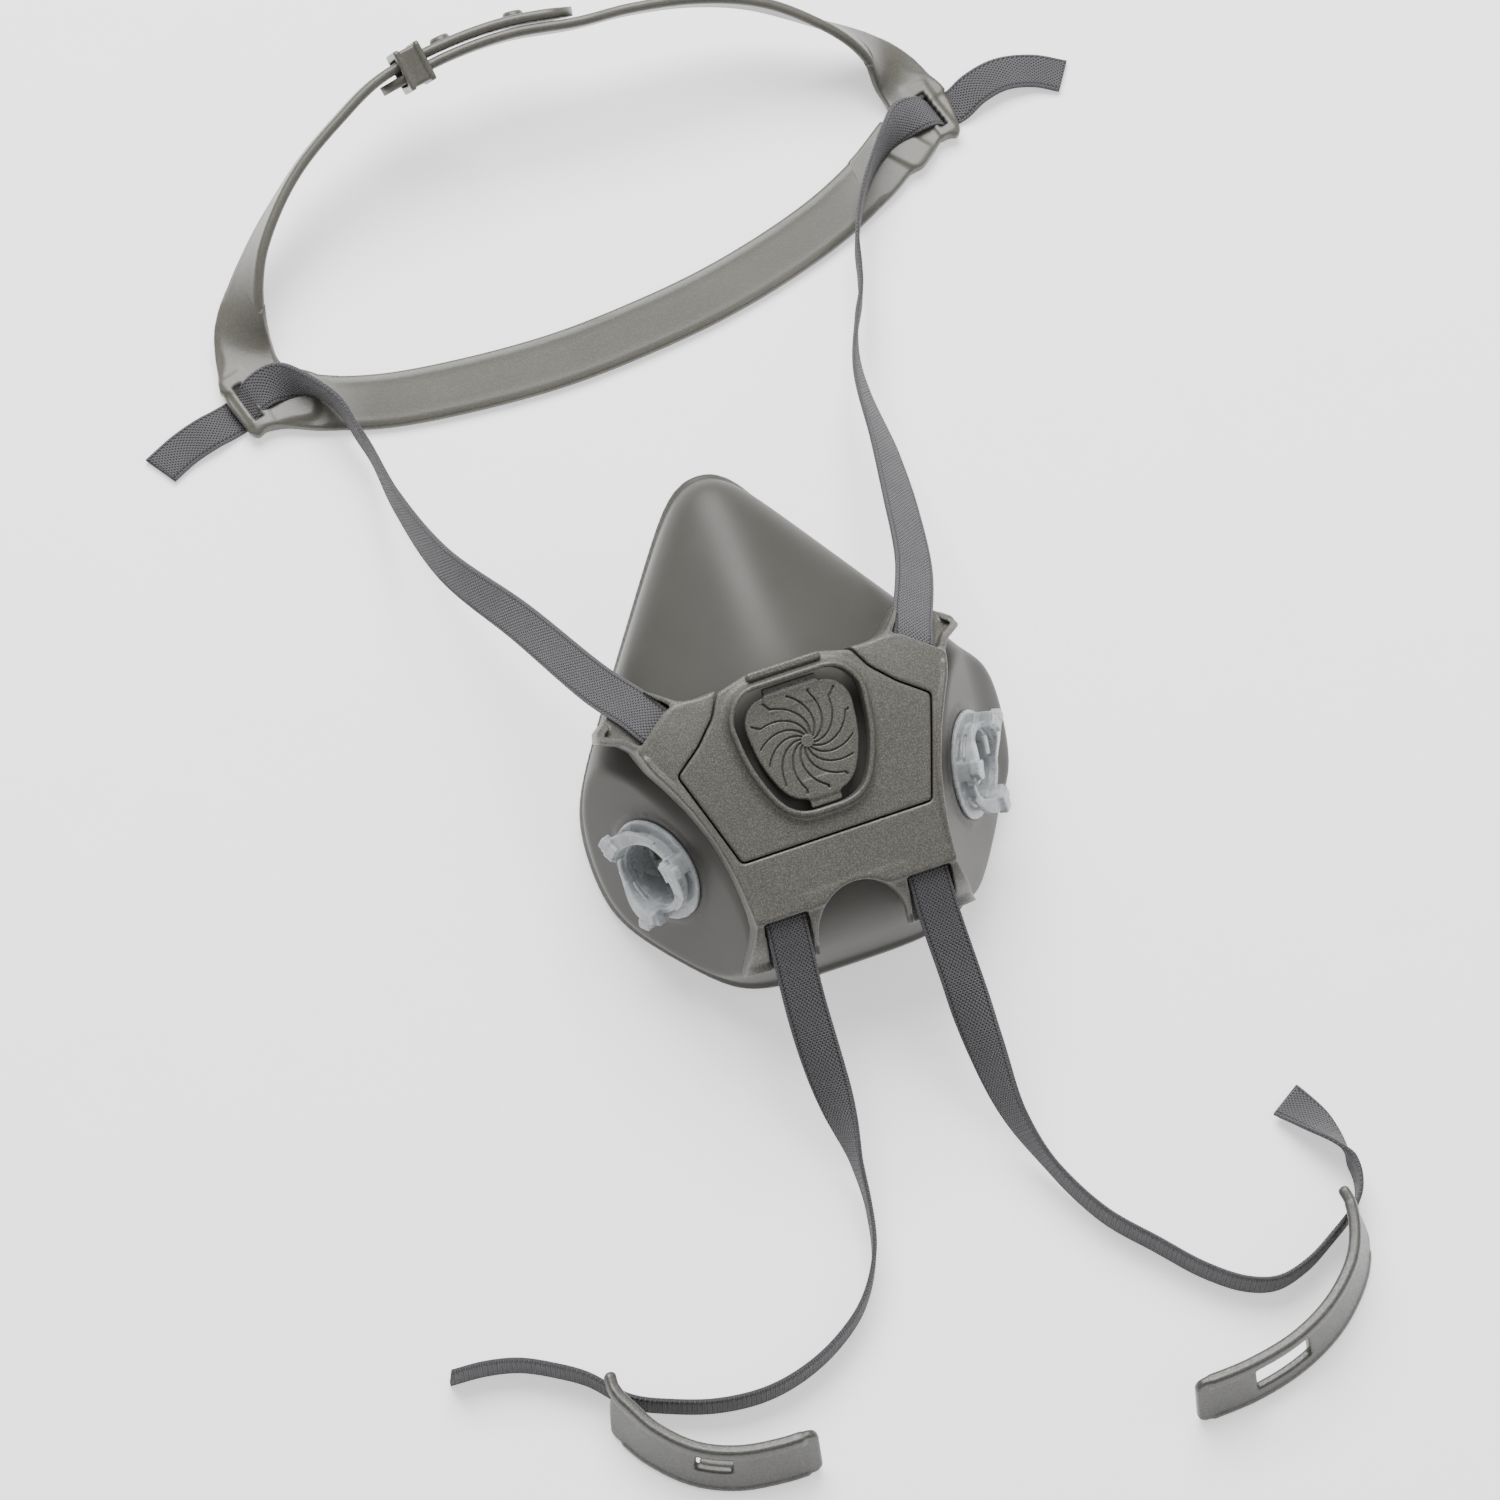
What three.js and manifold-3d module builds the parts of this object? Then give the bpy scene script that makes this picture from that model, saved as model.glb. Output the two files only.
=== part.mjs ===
// Half-face painter's respirator: elastomer facepiece, clip-on front yoke with
// valve panel, two side ports, elastic straps, head cradle and neck buckle.
// Millimetres, +Z up, +X to the wearer's left, +Y from chin to nose. The mask
// rests on its sealing rim and the harness lies round it on the same floor.
import * as THREE from 'three';
import { mergeVertices } from 'three/addons/utils/BufferGeometryUtils.js';
import Module from 'manifold-3d';

const wasm = await Module();
wasm.setup();

// ---- driving dimensions -------------------------------------------------
const FRONT_HEIGHT = 62;        // valve cover centre above the floor
const FRONT_TILT = 24;          // front panel leans toward the chin, degrees
const BOWL_HALF_WIDTH = 53.6;   // widest point of the facepiece from its middle
const WALL = 2.4;               // facepiece wall
const LIP_WIDTH = 10;           // inward sealing lip
const FRONT_DEPTH = -1.2;       // facepiece front face below the cover plane
const DECK_TOP = 2.4;           // yoke deck above the cover plane
const GAP = 0.35;               // clearance between neighbouring mouldings
const EAR_THICK = 2.7;          // yoke ears over the facepiece
const CHIN_ARCH = 11.3;         // radius of the cut-out below the deck
const PORT_TILT = 57;           // cheek face leans outward, degrees
const PORT_RADIUS = 12.2;       // bayonet ring
const PORT_BORE = 8.2;
const PORT_HEIGHT = 7.5;
const COLLAR_HALF = 15.2;       // valve collar, half width
const COLLAR_WALL = 1.7;
const COLLAR_TOP = 4.8;
const COVER_GAP = 1.5;          // open band between collar and slotted cover
const BORE_RADIUS = 11.4;       // exhale passage through the facepiece
const WEB = 10;                 // webbing width
const WEB_THICK = 1.1;
const BAND_WIDTH = 14.5;        // head cradle straps
const BAND_THICK = 2.4;
const CROWN_RISE = 26;          // crown strap above the rear band
const BUCKLE_MARGIN = 2.4;      // buckle plate beyond each slot end
const BUCKLE_THICK = 2.4;

const COVER_HALF = COLLAR_HALF - COLLAR_WALL - COVER_GAP;
const SLOT_HALF = WEB / 2 + 0.6;           // half length of every webbing slot
const BUCKLE_WIDTH = 2 * (SLOT_HALF + BUCKLE_MARGIN);
const EDGE_HEIGHT = WEB / 2 + 0.3;         // middle of webbing that stands on its edge

const rad = THREE.MathUtils.degToRad;
const vec = (x, y, z) => new THREE.Vector3(x, y, z);
const SIN = Math.sin(rad(FRONT_TILT));
const COS = Math.cos(rad(FRONT_TILT));

// ---- finishes -----------------------------------------------------------
const paint = (color, roughness) => ({ color, roughness, metalness: 0 });
const RUBBER = paint('#5c5a55', 0.62);
const SHELL = paint('#55534d', 0.55);
const MILK = paint('#cfd4d6', 0.3);
const FLAP = paint('#b9b39a', 0.4);
const CRADLE = paint('#6a6a60', 0.45);
const WEBBING = paint('#62616a', 0.9);
const BUCKLE = paint('#4c4b47', 0.45);

// ---- mesh helpers -------------------------------------------------------
// A closed skin through equal loops of points, flat caps at both ends.
function skin(loops, wrap = false) {
  const n = loops[0].length;
  const pos = [];
  const tri = [];
  for (const loop of loops) for (const p of loop) pos.push(p.x, p.y, p.z);
  const last = wrap ? loops.length : loops.length - 1;
  for (let i = 0; i < last; i++) {
    const a = i * n;
    const b = ((i + 1) % loops.length) * n;
    for (let j = 0; j < n; j++) {
      const k = (j + 1) % n;
      tri.push(a + j, b + j, b + k, a + j, b + k, a + k);
    }
  }
  if (!wrap) {
    for (const [row, flip] of [[0, false], [loops.length - 1, true]]) {
      const mid = loops[row].reduce((s, p) => s.add(p), vec(0, 0, 0)).divideScalar(n);
      const c = pos.length / 3;
      pos.push(mid.x, mid.y, mid.z);
      for (let j = 0; j < n; j++) {
        const k = (j + 1) % n;
        if (flip) tri.push(c, row * n + k, row * n + j);
        else tri.push(c, row * n + j, row * n + k);
      }
    }
  }
  const g = new THREE.BufferGeometry();
  g.setAttribute('position', new THREE.Float32BufferAttribute(pos, 3));
  g.setIndex(tri);
  return outward(g);
}

// Turns the faces of a closed geometry outward.
function outward(g) {
  const p = g.attributes.position;
  const ix = g.index.array;
  let v = 0;
  const at = (i) => vec(p.getX(i), p.getY(i), p.getZ(i));
  for (let i = 0; i < ix.length; i += 3) {
    v += at(ix[i]).dot(at(ix[i + 1]).cross(at(ix[i + 2])));
  }
  if (v < 0) {
    for (let i = 0; i < ix.length; i += 3) {
      const t = ix[i];
      ix[i] = ix[i + 1];
      ix[i + 1] = t;
    }
  }
  return g;
}

function solid(geometry) {
  const g = geometry.clone();
  for (const key of Object.keys(g.attributes)) {
    if (key !== 'position') g.deleteAttribute(key);
  }
  const m = outward(mergeVertices(g, 1e-4));
  const mesh = new wasm.Mesh({
    numProp: 3,
    vertProperties: new Float32Array(m.attributes.position.array),
    triVerts: new Uint32Array(m.index.array),
  });
  mesh.merge();
  return new wasm.Manifold(mesh);
}

function geometryOf(body) {
  const m = body.getMesh();
  const g = new THREE.BufferGeometry();
  g.setAttribute('position', new THREE.Float32BufferAttribute(m.vertProperties, 3));
  g.setIndex(Array.from(m.triVerts));
  return g;
}

// A prism over an outline in x, y, between two levels of z.
function prism(points, low, high) {
  const shape = new THREE.Shape(points.map(([x, y]) => new THREE.Vector2(x, y)));
  const g = new THREE.ExtrudeGeometry(shape, { depth: high - low, bevelEnabled: false });
  g.translate(0, 0, low);
  return solid(g);
}

function rod(radius, low, high, sides = 32) {
  const g = new THREE.CylinderGeometry(radius, radius, high - low, sides);
  g.rotateX(Math.PI / 2);
  g.translate(0, 0, (low + high) / 2);
  return g;
}

const mirror = (points) => points.map(([x, y]) => [-x, y]).reverse();
const both = (points) => [...points, ...mirror(points)];

// A rounded polygon: every corner is cut by an arc of the given radius.
function rounded(points, radius, steps = 3) {
  const out = [];
  const n = points.length;
  for (let i = 0; i < n; i++) {
    const p = new THREE.Vector2(...points[i]);
    const a = new THREE.Vector2(...points[(i + n - 1) % n]).sub(p);
    const b = new THREE.Vector2(...points[(i + 1) % n]).sub(p);
    const r = Math.min(radius, a.length() / 2.05, b.length() / 2.05);
    const s = p.clone().addScaledVector(a.normalize(), r);
    const e = p.clone().addScaledVector(b.normalize(), r);
    for (let k = 0; k <= steps; k++) {
      const t = k / steps;
      const q = s.clone().multiplyScalar((1 - t) ** 2);
      q.addScaledVector(p, 2 * t * (1 - t)).addScaledVector(e, t * t);
      out.push([q.x, q.y]);
    }
  }
  return out;
}

const grow = (points, d) => {
  const n = points.length;
  return points.map((p, i) => {
    const a = points[(i + n - 1) % n];
    const b = points[(i + 1) % n];
    const t1 = new THREE.Vector2(p[0] - a[0], p[1] - a[1]).normalize();
    const t2 = new THREE.Vector2(b[0] - p[0], b[1] - p[1]).normalize();
    const m = t1.clone().add(t2).normalize();
    const k = d / Math.max(0.5, m.dot(t1));
    return [p[0] + m.y * k, p[1] - m.x * k];
  });
};

const loop = (points, z) => points.map(([x, y]) => vec(x, y, z));

// ---- scene graph --------------------------------------------------------
const group = new THREE.Group();
const floor = new THREE.Group();      // x, forward, height over the floor
group.add(floor);
const front = new THREE.Group();      // x right, y up the front, z outward
front.position.set(0, 0, FRONT_HEIGHT);
front.rotation.x = rad(FRONT_TILT);
floor.add(front);

function add(parent, name, geometry, finish) {
  const mesh = new THREE.Mesh(geometry, new THREE.MeshStandardMaterial(finish));
  mesh.name = name;
  parent.add(mesh);
  return mesh;
}

// ---- facepiece surface, in the front frame --------------------------------
// A smooth convex body bounded by planes: normal, a point on it.
const cheekLean = Math.sin(rad(PORT_TILT));
const CHEEK = vec(cheekLean, -0.222, 0.498).normalize();
const PORT_BASE = vec(38.9, -18.1, -24);
const pair = (n, p) => [[n, p], [[-n[0], n[1], n[2]], [-p[0], p[1], p[2]]]];
const W = BOWL_HALF_WIDTH;
const FACE_PLANES = [
  [[0, 0, 1], [0, 0, FRONT_DEPTH]],
  ...pair(CHEEK.toArray(), PORT_BASE.toArray()),
  ...pair([0.461, 0.37, 0.807], [0, 19, -0.6]),
  ...pair([0.8, 0.573, -0.12], [28.6, 37.1, -29]),
  [[0, 0.98, -0.1], [0, 67.8, -30]],
  ...pair([0.99, -0.03, -0.1], [W, -11, -30]),
  ...pair([0.72, -0.68, -0.08], [43.8, -37.5, -30]),
  [[0, -0.5, 0.87], [0, -38, -4.6]],
  [[0, -0.966, 0.26], [0, -48.5, -18]],
];
const SADDLE_PLANES = [
  [[0, 0, 1], [0, 0, FRONT_DEPTH]],
  ...pair(CHEEK.toArray(), PORT_BASE.toArray()),
  ...pair([0.461, 0.37, 0.807], [0, 19, -0.6]),
  [[0, -0.5, 0.87], [0, -38, -4.6]],
  ...pair([1, 0, 0], [70, 0, 0]),
  [[0, 1, 0], [0, 70, 0]],
  [[0, -1, 0], [0, -70, 0]],
];
const DECK_PLANES = [
  [[0, 0, 1], [0, 0, DECK_TOP]],
  ...pair([0.3, 0.08, 0.95], [31, 0, 2.6]),
  ...pair([0.1, 0.22, 0.97], [0, 17, 2.7]),
  ...pair([1, 0, 0], [80, 0, 0]),
  [[0, 1, 0], [0, 80, 0]],
  [[0, -1, 0], [0, -80, 0]],
];
const ROUND_FACE = 0.3;         // sharper blends as this grows
const ROUND_DECK = 1.2;
function surface(list, round) {
  const planes = list.map(([n, p]) => {
    const normal = vec(...n).normalize();
    return { normal, level: normal.dot(vec(...p)) };
  });
  return { planes, round };
}

function level({ planes, round }, p) {
  const g = planes.map((q) => q.normal.dot(p) - q.level);
  const top = Math.max(...g);
  return top + Math.log(g.reduce((s, v) => s + Math.exp(round * (v - top)), 0)) / round;
}

const HUB = vec(0, 2, -30);
function hit(planes, dir, offset) {
  let low = 0;
  let high = 160;
  for (let i = 0; i < 34; i++) {
    const mid = (low + high) / 2;
    if (level(planes, HUB.clone().addScaledVector(dir, mid)) < offset) low = mid;
    else high = mid;
  }
  return HUB.clone().addScaledVector(dir, low);
}

function toward(phi, theta) {
  const s = Math.sin(theta);
  return vec(s * Math.cos(phi), s * Math.sin(phi), Math.cos(theta));
}

// The rim stands on the floor at chin and cheeks and climbs beside the nose.
const floorHeight = (p) => FRONT_HEIGHT + p.y * SIN + p.z * COS;
const floorForward = (p) => p.y * COS - p.z * SIN;
function rimHeight(y) {
  const climb = 1.3 * (y - 36);
  return 3 * Math.log(1 + Math.exp(climb / 3));
}
const aboveRim = (p) => floorHeight(p) - rimHeight(floorForward(p));

function rimPoint(planes, phi, offset, lift) {
  let low = 0.5;
  let high = 2.7;
  for (let i = 0; i < 26; i++) {
    const mid = (low + high) / 2;
    if (aboveRim(hit(planes, toward(phi, mid), offset)) > lift) low = mid;
    else high = mid;
  }
  return low;
}

const FACE = surface(FACE_PLANES, ROUND_FACE);
const SADDLE = surface(SADDLE_PLANES, ROUND_FACE);
const DECK = surface(DECK_PLANES, ROUND_DECK);
const AROUND = 40;
const ring = (fn) => Array.from({ length: AROUND }, (_, j) => fn(j * 2 * Math.PI / AROUND, j));

// Point of the floor plan: x, forward, height above the floor -> front frame.
function fromFloor(x, y, z) {
  const u = z - FRONT_HEIGHT;
  return vec(x, y * COS + u * SIN, -y * SIN + u * COS);
}

function facepieceGeometry() {
  const rows = 9;
  const outerEnd = ring((phi) => rimPoint(FACE, phi, 0, 1.2));
  const innerEnd = ring((phi) => rimPoint(FACE, phi, -WALL, 4));
  const loops = [];
  for (let i = 1; i <= rows; i++) {
    loops.push(ring((phi, j) => hit(FACE, toward(phi, outerEnd[j] * i / rows), 0)));
  }
  const sole = ring((phi) => hit(FACE, toward(phi, rimPoint(FACE, phi, -0.7, 0.02)), -0.7));
  loops.push(sole);
  const inward = (p, width, lift) => {
    const y = floorForward(p);
    const to = new THREE.Vector2(-p.x, 20 - y).normalize().multiplyScalar(width);
    const ny = y + to.y;
    return fromFloor(p.x + to.x, ny, rimHeight(ny) + lift);
  };
  loops.push(sole.map((p) => inward(p, LIP_WIDTH, 2)));
  loops.push(sole.map((p) => inward(p, LIP_WIDTH, 3.4)));
  const innerRows = 7;
  for (let i = innerRows; i >= 1; i--) {
    loops.push(ring((phi, j) => hit(FACE, toward(phi, innerEnd[j] * i / innerRows), -WALL)));
  }
  return skin(loops);
}

function blob(planes, offset) {
  const loops = [];
  for (let i = 1; i <= 16; i++) {
    loops.push(ring((phi) => hit(planes, toward(phi, i * 2.2 / 16), offset)));
  }
  return solid(skin(loops));
}

// Frames of the two ports, z along the port axis.
function portMatrix(side) {
  const z = vec(side * CHEEK.x, CHEEK.y, CHEEK.z);
  const x = vec(0, 1, 0).cross(z).normalize();
  const y = z.clone().cross(x);
  const m = new THREE.Matrix4().makeBasis(x, y, z);
  m.setPosition(side * PORT_BASE.x, PORT_BASE.y, PORT_BASE.z);
  return m;
}

const onPort = (side, g) => g.applyMatrix4(portMatrix(side));

let bowl = solid(facepieceGeometry());
bowl = bowl.subtract(solid(rod(BORE_RADIUS, -20, 10)));
for (const side of [-1, 1]) {
  bowl = bowl.subtract(solid(onPort(side, rod(PORT_BORE + 1.3, -20, 10))));
}
add(front, 'facepiece', geometryOf(bowl), RUBBER);

// ---- front yoke -----------------------------------------------------------
// Outlines of the right half, counted from the side of the collar and from its top edge.
const COLLAR_REACH = 0.96 * COLLAR_HALF;
const COLLAR_SHOULDER = 0.625 * COLLAR_HALF;
const beside = (points) => points.map(([x, y]) => [COLLAR_HALF + x, y]);
const atShoulder = (points) => points.map(([x, y]) => [COLLAR_HALF + x, COLLAR_REACH + y]);
const DECK_TIP = COLLAR_REACH + 4;
const DECK_SIDE = [
  [12, -37.4], [23.9, -37.4],
  ...beside([[8.8, -28], [9.3, -22.4], [10.6, -15.4], [13.4, -7.4], [16.6, -0.6]]),
  ...atShoulder([[19.6, -10.2], [21.2, -5.4], [12, 2], [5.3, 1.7], [0, 1.8]]),
  [8.2, DECK_TIP],
];
const EAR_UP = atShoulder([
  [17.8, -11.6], [20.6, -5.7], [27.4, -1], [25.8, 1.8], [18.2, 9.6], [11.4, 4.8], [4.8, 0.4],
]);
const EAR_LOW = [
  [11.6, -34], [11.6, -44.5], [12.6, -47.6], [26.6, -47.6], [27, -43], [24.2, -34],
];
const PANEL_SIDE = [
  ...beside([[7.4, -COLLAR_HALF - 6.4], [13.5, COLLAR_SHOULDER - 7.9]]),
  ...beside([[6.6, COLLAR_SHOULDER - 3.3], [2.3, COLLAR_SHOULDER + 1.7], [0, COLLAR_REACH + 1.4]]),
  [8.2, DECK_TIP - 0.4],
];
const PANEL = both(PANEL_SIDE);
const SLOT_OUT = vec(0.62, 0.79, 0).normalize();
const SLOT_MID = vec(COLLAR_HALF + 16.2, COLLAR_REACH - 1.2, 0);
const LOW_SLOT = vec(17.7, -37.4, 0);

const under = blob(SADDLE, GAP);
const over = blob(SADDLE, EAR_THICK);
const deckTop = blob(DECK, 0);
let yoke = prism(both(DECK_SIDE), -12, 8).intersect(deckTop).subtract(under);
for (const side of [-1, 1]) {
  const at = (list) => (side > 0 ? list : mirror(list));
  const ears = prism(at(EAR_UP), -34, 8).add(prism(at(EAR_LOW), -30, 8));
  yoke = yoke.add(ears.intersect(over).subtract(under));
}
const arch = new THREE.CylinderGeometry(CHIN_ARCH, CHIN_ARCH, 30, 28);
arch.rotateX(Math.PI / 2);
arch.translate(0, -46.5, 0);
yoke = yoke.subtract(solid(arch)).subtract(prism(grow(PANEL, GAP), -20, 20));
const NOTCH = both([[COLLAR_HALF + 0.2, COLLAR_REACH - 0.6], [COLLAR_HALF + 0.2, COLLAR_REACH + 9.4]]);
yoke = yoke.subtract(prism(NOTCH, -20, 20));

// Strap mouths under the deck edge, and the channels the webbing leaves by.
const MOUTH_DEPTH = { upper: 7, lower: 6 };
const MOUTH_LEVELS = { upper: [-6, -1.6], lower: [-1.5, 0.2] };
const DOWN = vec(0, -1, 0);
function mouth(x, y, dir, row) {
  const [low, high] = MOUTH_LEVELS[row];
  const g = new THREE.BoxGeometry(WEB + 1, MOUTH_DEPTH[row], high - low);
  g.translate(0, 0, (high + low) / 2);
  g.rotateZ(Math.atan2(-dir.x, dir.y));
  g.translate(x, y, 0);
  return solid(g);
}
for (const side of [-1, 1]) {
  const out = vec(side * SLOT_OUT.x, SLOT_OUT.y, 0);
  yoke = yoke.subtract(mouth(side * SLOT_MID.x, SLOT_MID.y, out, 'upper'));
  yoke = yoke.subtract(mouth(side * LOW_SLOT.x, LOW_SLOT.y, DOWN, 'lower'));
}
add(front, 'front_yoke', geometryOf(yoke), SHELL);

// ---- valve panel with its collar -------------------------------------------
// The collar and its cover share one outline, wide at the top, narrow at the chin.
const SHIELD_SIDE = [[0.56, -1], [0.93, -0.2], [1, 0.625], [0.725, 0.96]];
const shield = (half, corner) => rounded(
  both(SHIELD_SIDE).map(([x, y]) => [x * half, y * half]),
  corner,
);
const collarLine = (d) => shield(COLLAR_HALF + d, 5);
const COLLAR_FOOT = 0.6;
const COLLAR_FLARE = COLLAR_WALL + 1.4;
const profile = [
  [COLLAR_FLARE, COLLAR_FOOT], [COLLAR_FLARE, DECK_TOP - 0.3], [COLLAR_WALL - 0.2, DECK_TOP + 0.4],
  [0.4, COLLAR_TOP - 1], [0, COLLAR_TOP - 0.3], [-0.6, COLLAR_TOP], [-1.1, COLLAR_TOP],
  [-COLLAR_WALL, COLLAR_TOP - 0.5], [-COLLAR_WALL, COLLAR_FOOT],
];
const collar = solid(skin(profile.map(([d, z]) => loop(collarLine(d), z)), true));
const bore = solid(skin([-20, 20].map((z) => loop(collarLine(-COLLAR_WALL + 0.02), z))));
const panel = prism(PANEL, -0.5, 8).intersect(deckTop).subtract(bore).add(collar);
add(front, 'valve_panel', geometryOf(panel), SHELL);

// ---- slotted cover, clipped in the collar -----------------------------------
const COVER_LOW = -0.7;
const COVER_HIGH = 1.2;
const BLADES = 14;              // curved grooves on the cover
const GROOVE_HALF = 0.32;
const GROOVE_DEPTH = 0.5;
let cover = prism(shield(COVER_HALF, 4.5), COVER_LOW, COVER_HIGH);
const inner = collarLine(-COLLAR_WALL - GAP);
const within = solid(skin([-6, 20].map((z) => loop(inner, z))));
for (const [half, way] of [[7, 1], [3.6, -1]]) {
  const root = 0.75 * COVER_HALF * way;
  const tip = (COLLAR_HALF + 1) * way;
  const tab = [[-half, root], [half, root], [half, tip], [-half, tip]];
  const bridge = prism(way > 0 ? tab : tab.reverse(), COVER_LOW, COVER_HIGH);
  cover = cover.add(bridge.intersect(within));
}
for (let i = 0; i < BLADES; i++) {
  const line = [];
  const back = [];
  for (let k = 0; k <= 5; k++) {
    const t = k / 5;
    const r = COVER_HALF * (0.22 + 0.63 * t);
    const turn = i * 2 * Math.PI / BLADES + 0.9 * t;
    const half = GROOVE_HALF / r;
    line.push([r * Math.cos(turn - half), r * Math.sin(turn - half)]);
    back.unshift([r * Math.cos(turn + half), r * Math.sin(turn + half)]);
  }
  cover = cover.subtract(prism([...line, ...back], COVER_HIGH - GROOVE_DEPTH, 3));
}
add(front, 'exhale_valve_cover', geometryOf(cover), SHELL);

// ---- exhale valve: spoked seat held in the bore, and its disc ------------------
let seat = solid(rod(BORE_RADIUS - 0.3, -5.2, -1.6, 36));
seat = seat.subtract(solid(rod(BORE_RADIUS - 1.7, -6, 0, 36)));
for (const turn of [0, Math.PI / 3, 2 * Math.PI / 3]) {
  const bar = new THREE.BoxGeometry(2 * BORE_RADIUS - 2, 1.2, 1.4);
  bar.translate(0, 0, -4.5);
  bar.rotateZ(turn);
  seat = seat.add(solid(bar));
}
add(front, 'exhale_valve_seat', geometryOf(seat), MILK);
add(front, 'exhale_valve_disc', rod(BORE_RADIUS - 2.2, -3.4, -2.6, 32), FLAP);

// ---- side ports ---------------------------------------------------------------
// Bayonet ring with a sleeve through the wall, a flange outside and three lugs.
const LUG_RAMP = [[-0.5, 4.3], [-0.2, PORT_HEIGHT - 1], [0.05, PORT_HEIGHT], [0.3, PORT_HEIGHT]];
function portBody() {
  const ringProfile = [
    [PORT_BORE, -5.5], [PORT_BORE + 1, -5.5], [PORT_BORE + 1, GAP], [PORT_RADIUS + 0.9, GAP],
    [PORT_RADIUS + 0.9, 1.5], [PORT_RADIUS - 1, 2.2], [PORT_RADIUS - 1, 4.6], [PORT_BORE, 4.6],
  ];
  const shape = ringProfile.map(([r, z]) => new THREE.Vector2(r, z));
  const g = new THREE.LatheGeometry([...shape, shape[0]], 36);
  g.rotateX(Math.PI / 2);
  let body = solid(g);
  for (let i = 0; i < 3; i++) {
    const arm = [];
    for (const [turn, high] of LUG_RAMP) {
      const spin = i * 2 * Math.PI / 3 + turn;
      const at = (r, z) => vec(r * Math.cos(spin), r * Math.sin(spin), z);
      const near = PORT_BORE + 0.3;
      const far = PORT_RADIUS + 0.8;
      arm.push([at(near, 3), at(far, 3), at(far, high), at(near, high)]);
    }
    body = body.add(solid(skin(arm)));
  }
  return body;
}
const portShape = geometryOf(portBody());
const facing = (side, g) => (side > 0 ? g.rotateZ(Math.PI) : g);
function spokes() {
  let body = solid(rod(PORT_BORE - 0.3, -5.5, -4.2, 30)).subtract(solid(rod(PORT_BORE - 1.4, -8, 0, 30)));
  for (const turn of [0, Math.PI / 2]) {
    const bar = new THREE.BoxGeometry(2 * PORT_BORE - 1.6, 1.2, 1.3);
    bar.translate(0, 0, -4.85);
    bar.rotateZ(turn);
    body = body.add(solid(bar));
  }
  return body;
}
const spokeShape = geometryOf(spokes());
for (const [side, name] of [[-1, 'right'], [1, 'left']]) {
  add(front, `port_${name}`, onPort(side, facing(side, portShape.clone())), MILK);
  add(front, `inhale_seat_${name}`, onPort(side, spokeShape.clone()), MILK);
  add(front, `inhale_flap_${name}`, onPort(side, rod(PORT_BORE + 0.6, -6.7, -5.85, 28)), FLAP);
}

// ---- webbing --------------------------------------------------------------------
// A flat ribbon along a smooth route. Each stop gives the middle point and the
// direction across the webbing.
function ribbon(stops, width, thick, steps) {
  const route = new THREE.CatmullRomCurve3(stops.map((s) => vec(...s[0])), false, 'centripetal');
  const across = new THREE.CatmullRomCurve3(stops.map((s) => vec(...s[1])), false, 'centripetal');
  const loops = [];
  for (let i = 0; i <= steps; i++) {
    const t = i / steps;
    const p = route.getPoint(t);
    const dir = route.getTangent(t);
    const wide = across.getPoint(t);
    wide.addScaledVector(dir, -wide.dot(dir)).normalize();
    const flat = dir.clone().cross(wide).normalize();
    loops.push([[-1, -1], [1, -1], [1, 1], [-1, 1]].map(([u, v]) => p.clone()
      .addScaledVector(wide, u * width / 2).addScaledVector(flat, v * thick / 2)));
  }
  return skin(loops);
}

// Where the webbing leaves the yoke, in the floor frame.
const toFloor = (x, y, z) => vec(x, y * COS - z * SIN, FRONT_HEIGHT + y * SIN + z * COS).toArray();
const upMouth = (side) => toFloor(side * (SLOT_MID.x + 0.3), SLOT_MID.y + 0.4, -3.8);
const lowMouth = (side) => toFloor(side * LOW_SLOT.x, LOW_SLOT.y - 0.5, -0.6);
const upWide = (side) => [-side * 0.79, 0.57, 0.25];
const EDGE = [0, 0, 1];
const onEdge = (x, y, up = 0) => [[x, y, EDGE_HEIGHT + up], EDGE];
const hung = (x, y, drop) => [x, y, FRONT_HEIGHT - drop];  // a drop below the front

const UPPER_RIGHT = [
  [upMouth(-1), upWide(-1)], [hung(-SLOT_MID.x - 3.1, 21, 0.5), upWide(-1)],
  [hung(-40, 33, 7), [0.74, 0.5, 0.4]],
  [hung(-50, 62, 22), [0.6, 0.3, 0.7]], [[-61, 90, 26], [0.35, 0.1, 0.9]], [[-65.5, 116, 15], [0.1, 0, 1]],
  onEdge(-66.7, 134.4, 4.1),
];
const UPPER_LEFT = [
  [upMouth(1), upWide(1)], [hung(SLOT_MID.x + 3.1, 21, 0.5), upWide(1)],
  [hung(42, 39, 11), [-0.78, 0.4, 0.4]],
  [hung(47, 60, 21), [-0.75, 0.3, 0.5]], [[51, 81, 31], [-0.6, 0.2, 0.7]],
  [[54.5, 106, 20], [-0.3, 0.1, 0.9]],
  onEdge(60, 124, 7.2), onEdge(65.2, 134.4, 4.4),
];
const END_RIGHT = [
  onEdge(-68, 140.4, 4.3), onEdge(-69.9, 148.6, 5.3), [[-76, 158, EDGE_HEIGHT + 4.7], [-0.3, 0.4, 0.8]],
  [[-83, 162, 8], [-0.35, 0.85, 0.3]], [[-89, 161.5, 6.1], [-0.2, 0.97, 0.05]],
];
const END_LEFT = [
  onEdge(67.2, 140.4, 4.2), onEdge(70, 150, 4.7), onEdge(77, 163, 5.3),
  [[86, 174, WEB + 0.2], [0.3, 0.5, 0.8]],
  [[94, 180, 8.2], [0.3, 0.85, 0.3]], [[101, 181.8, 6.1], [0.2, 0.97, 0.05]],
];
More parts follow.
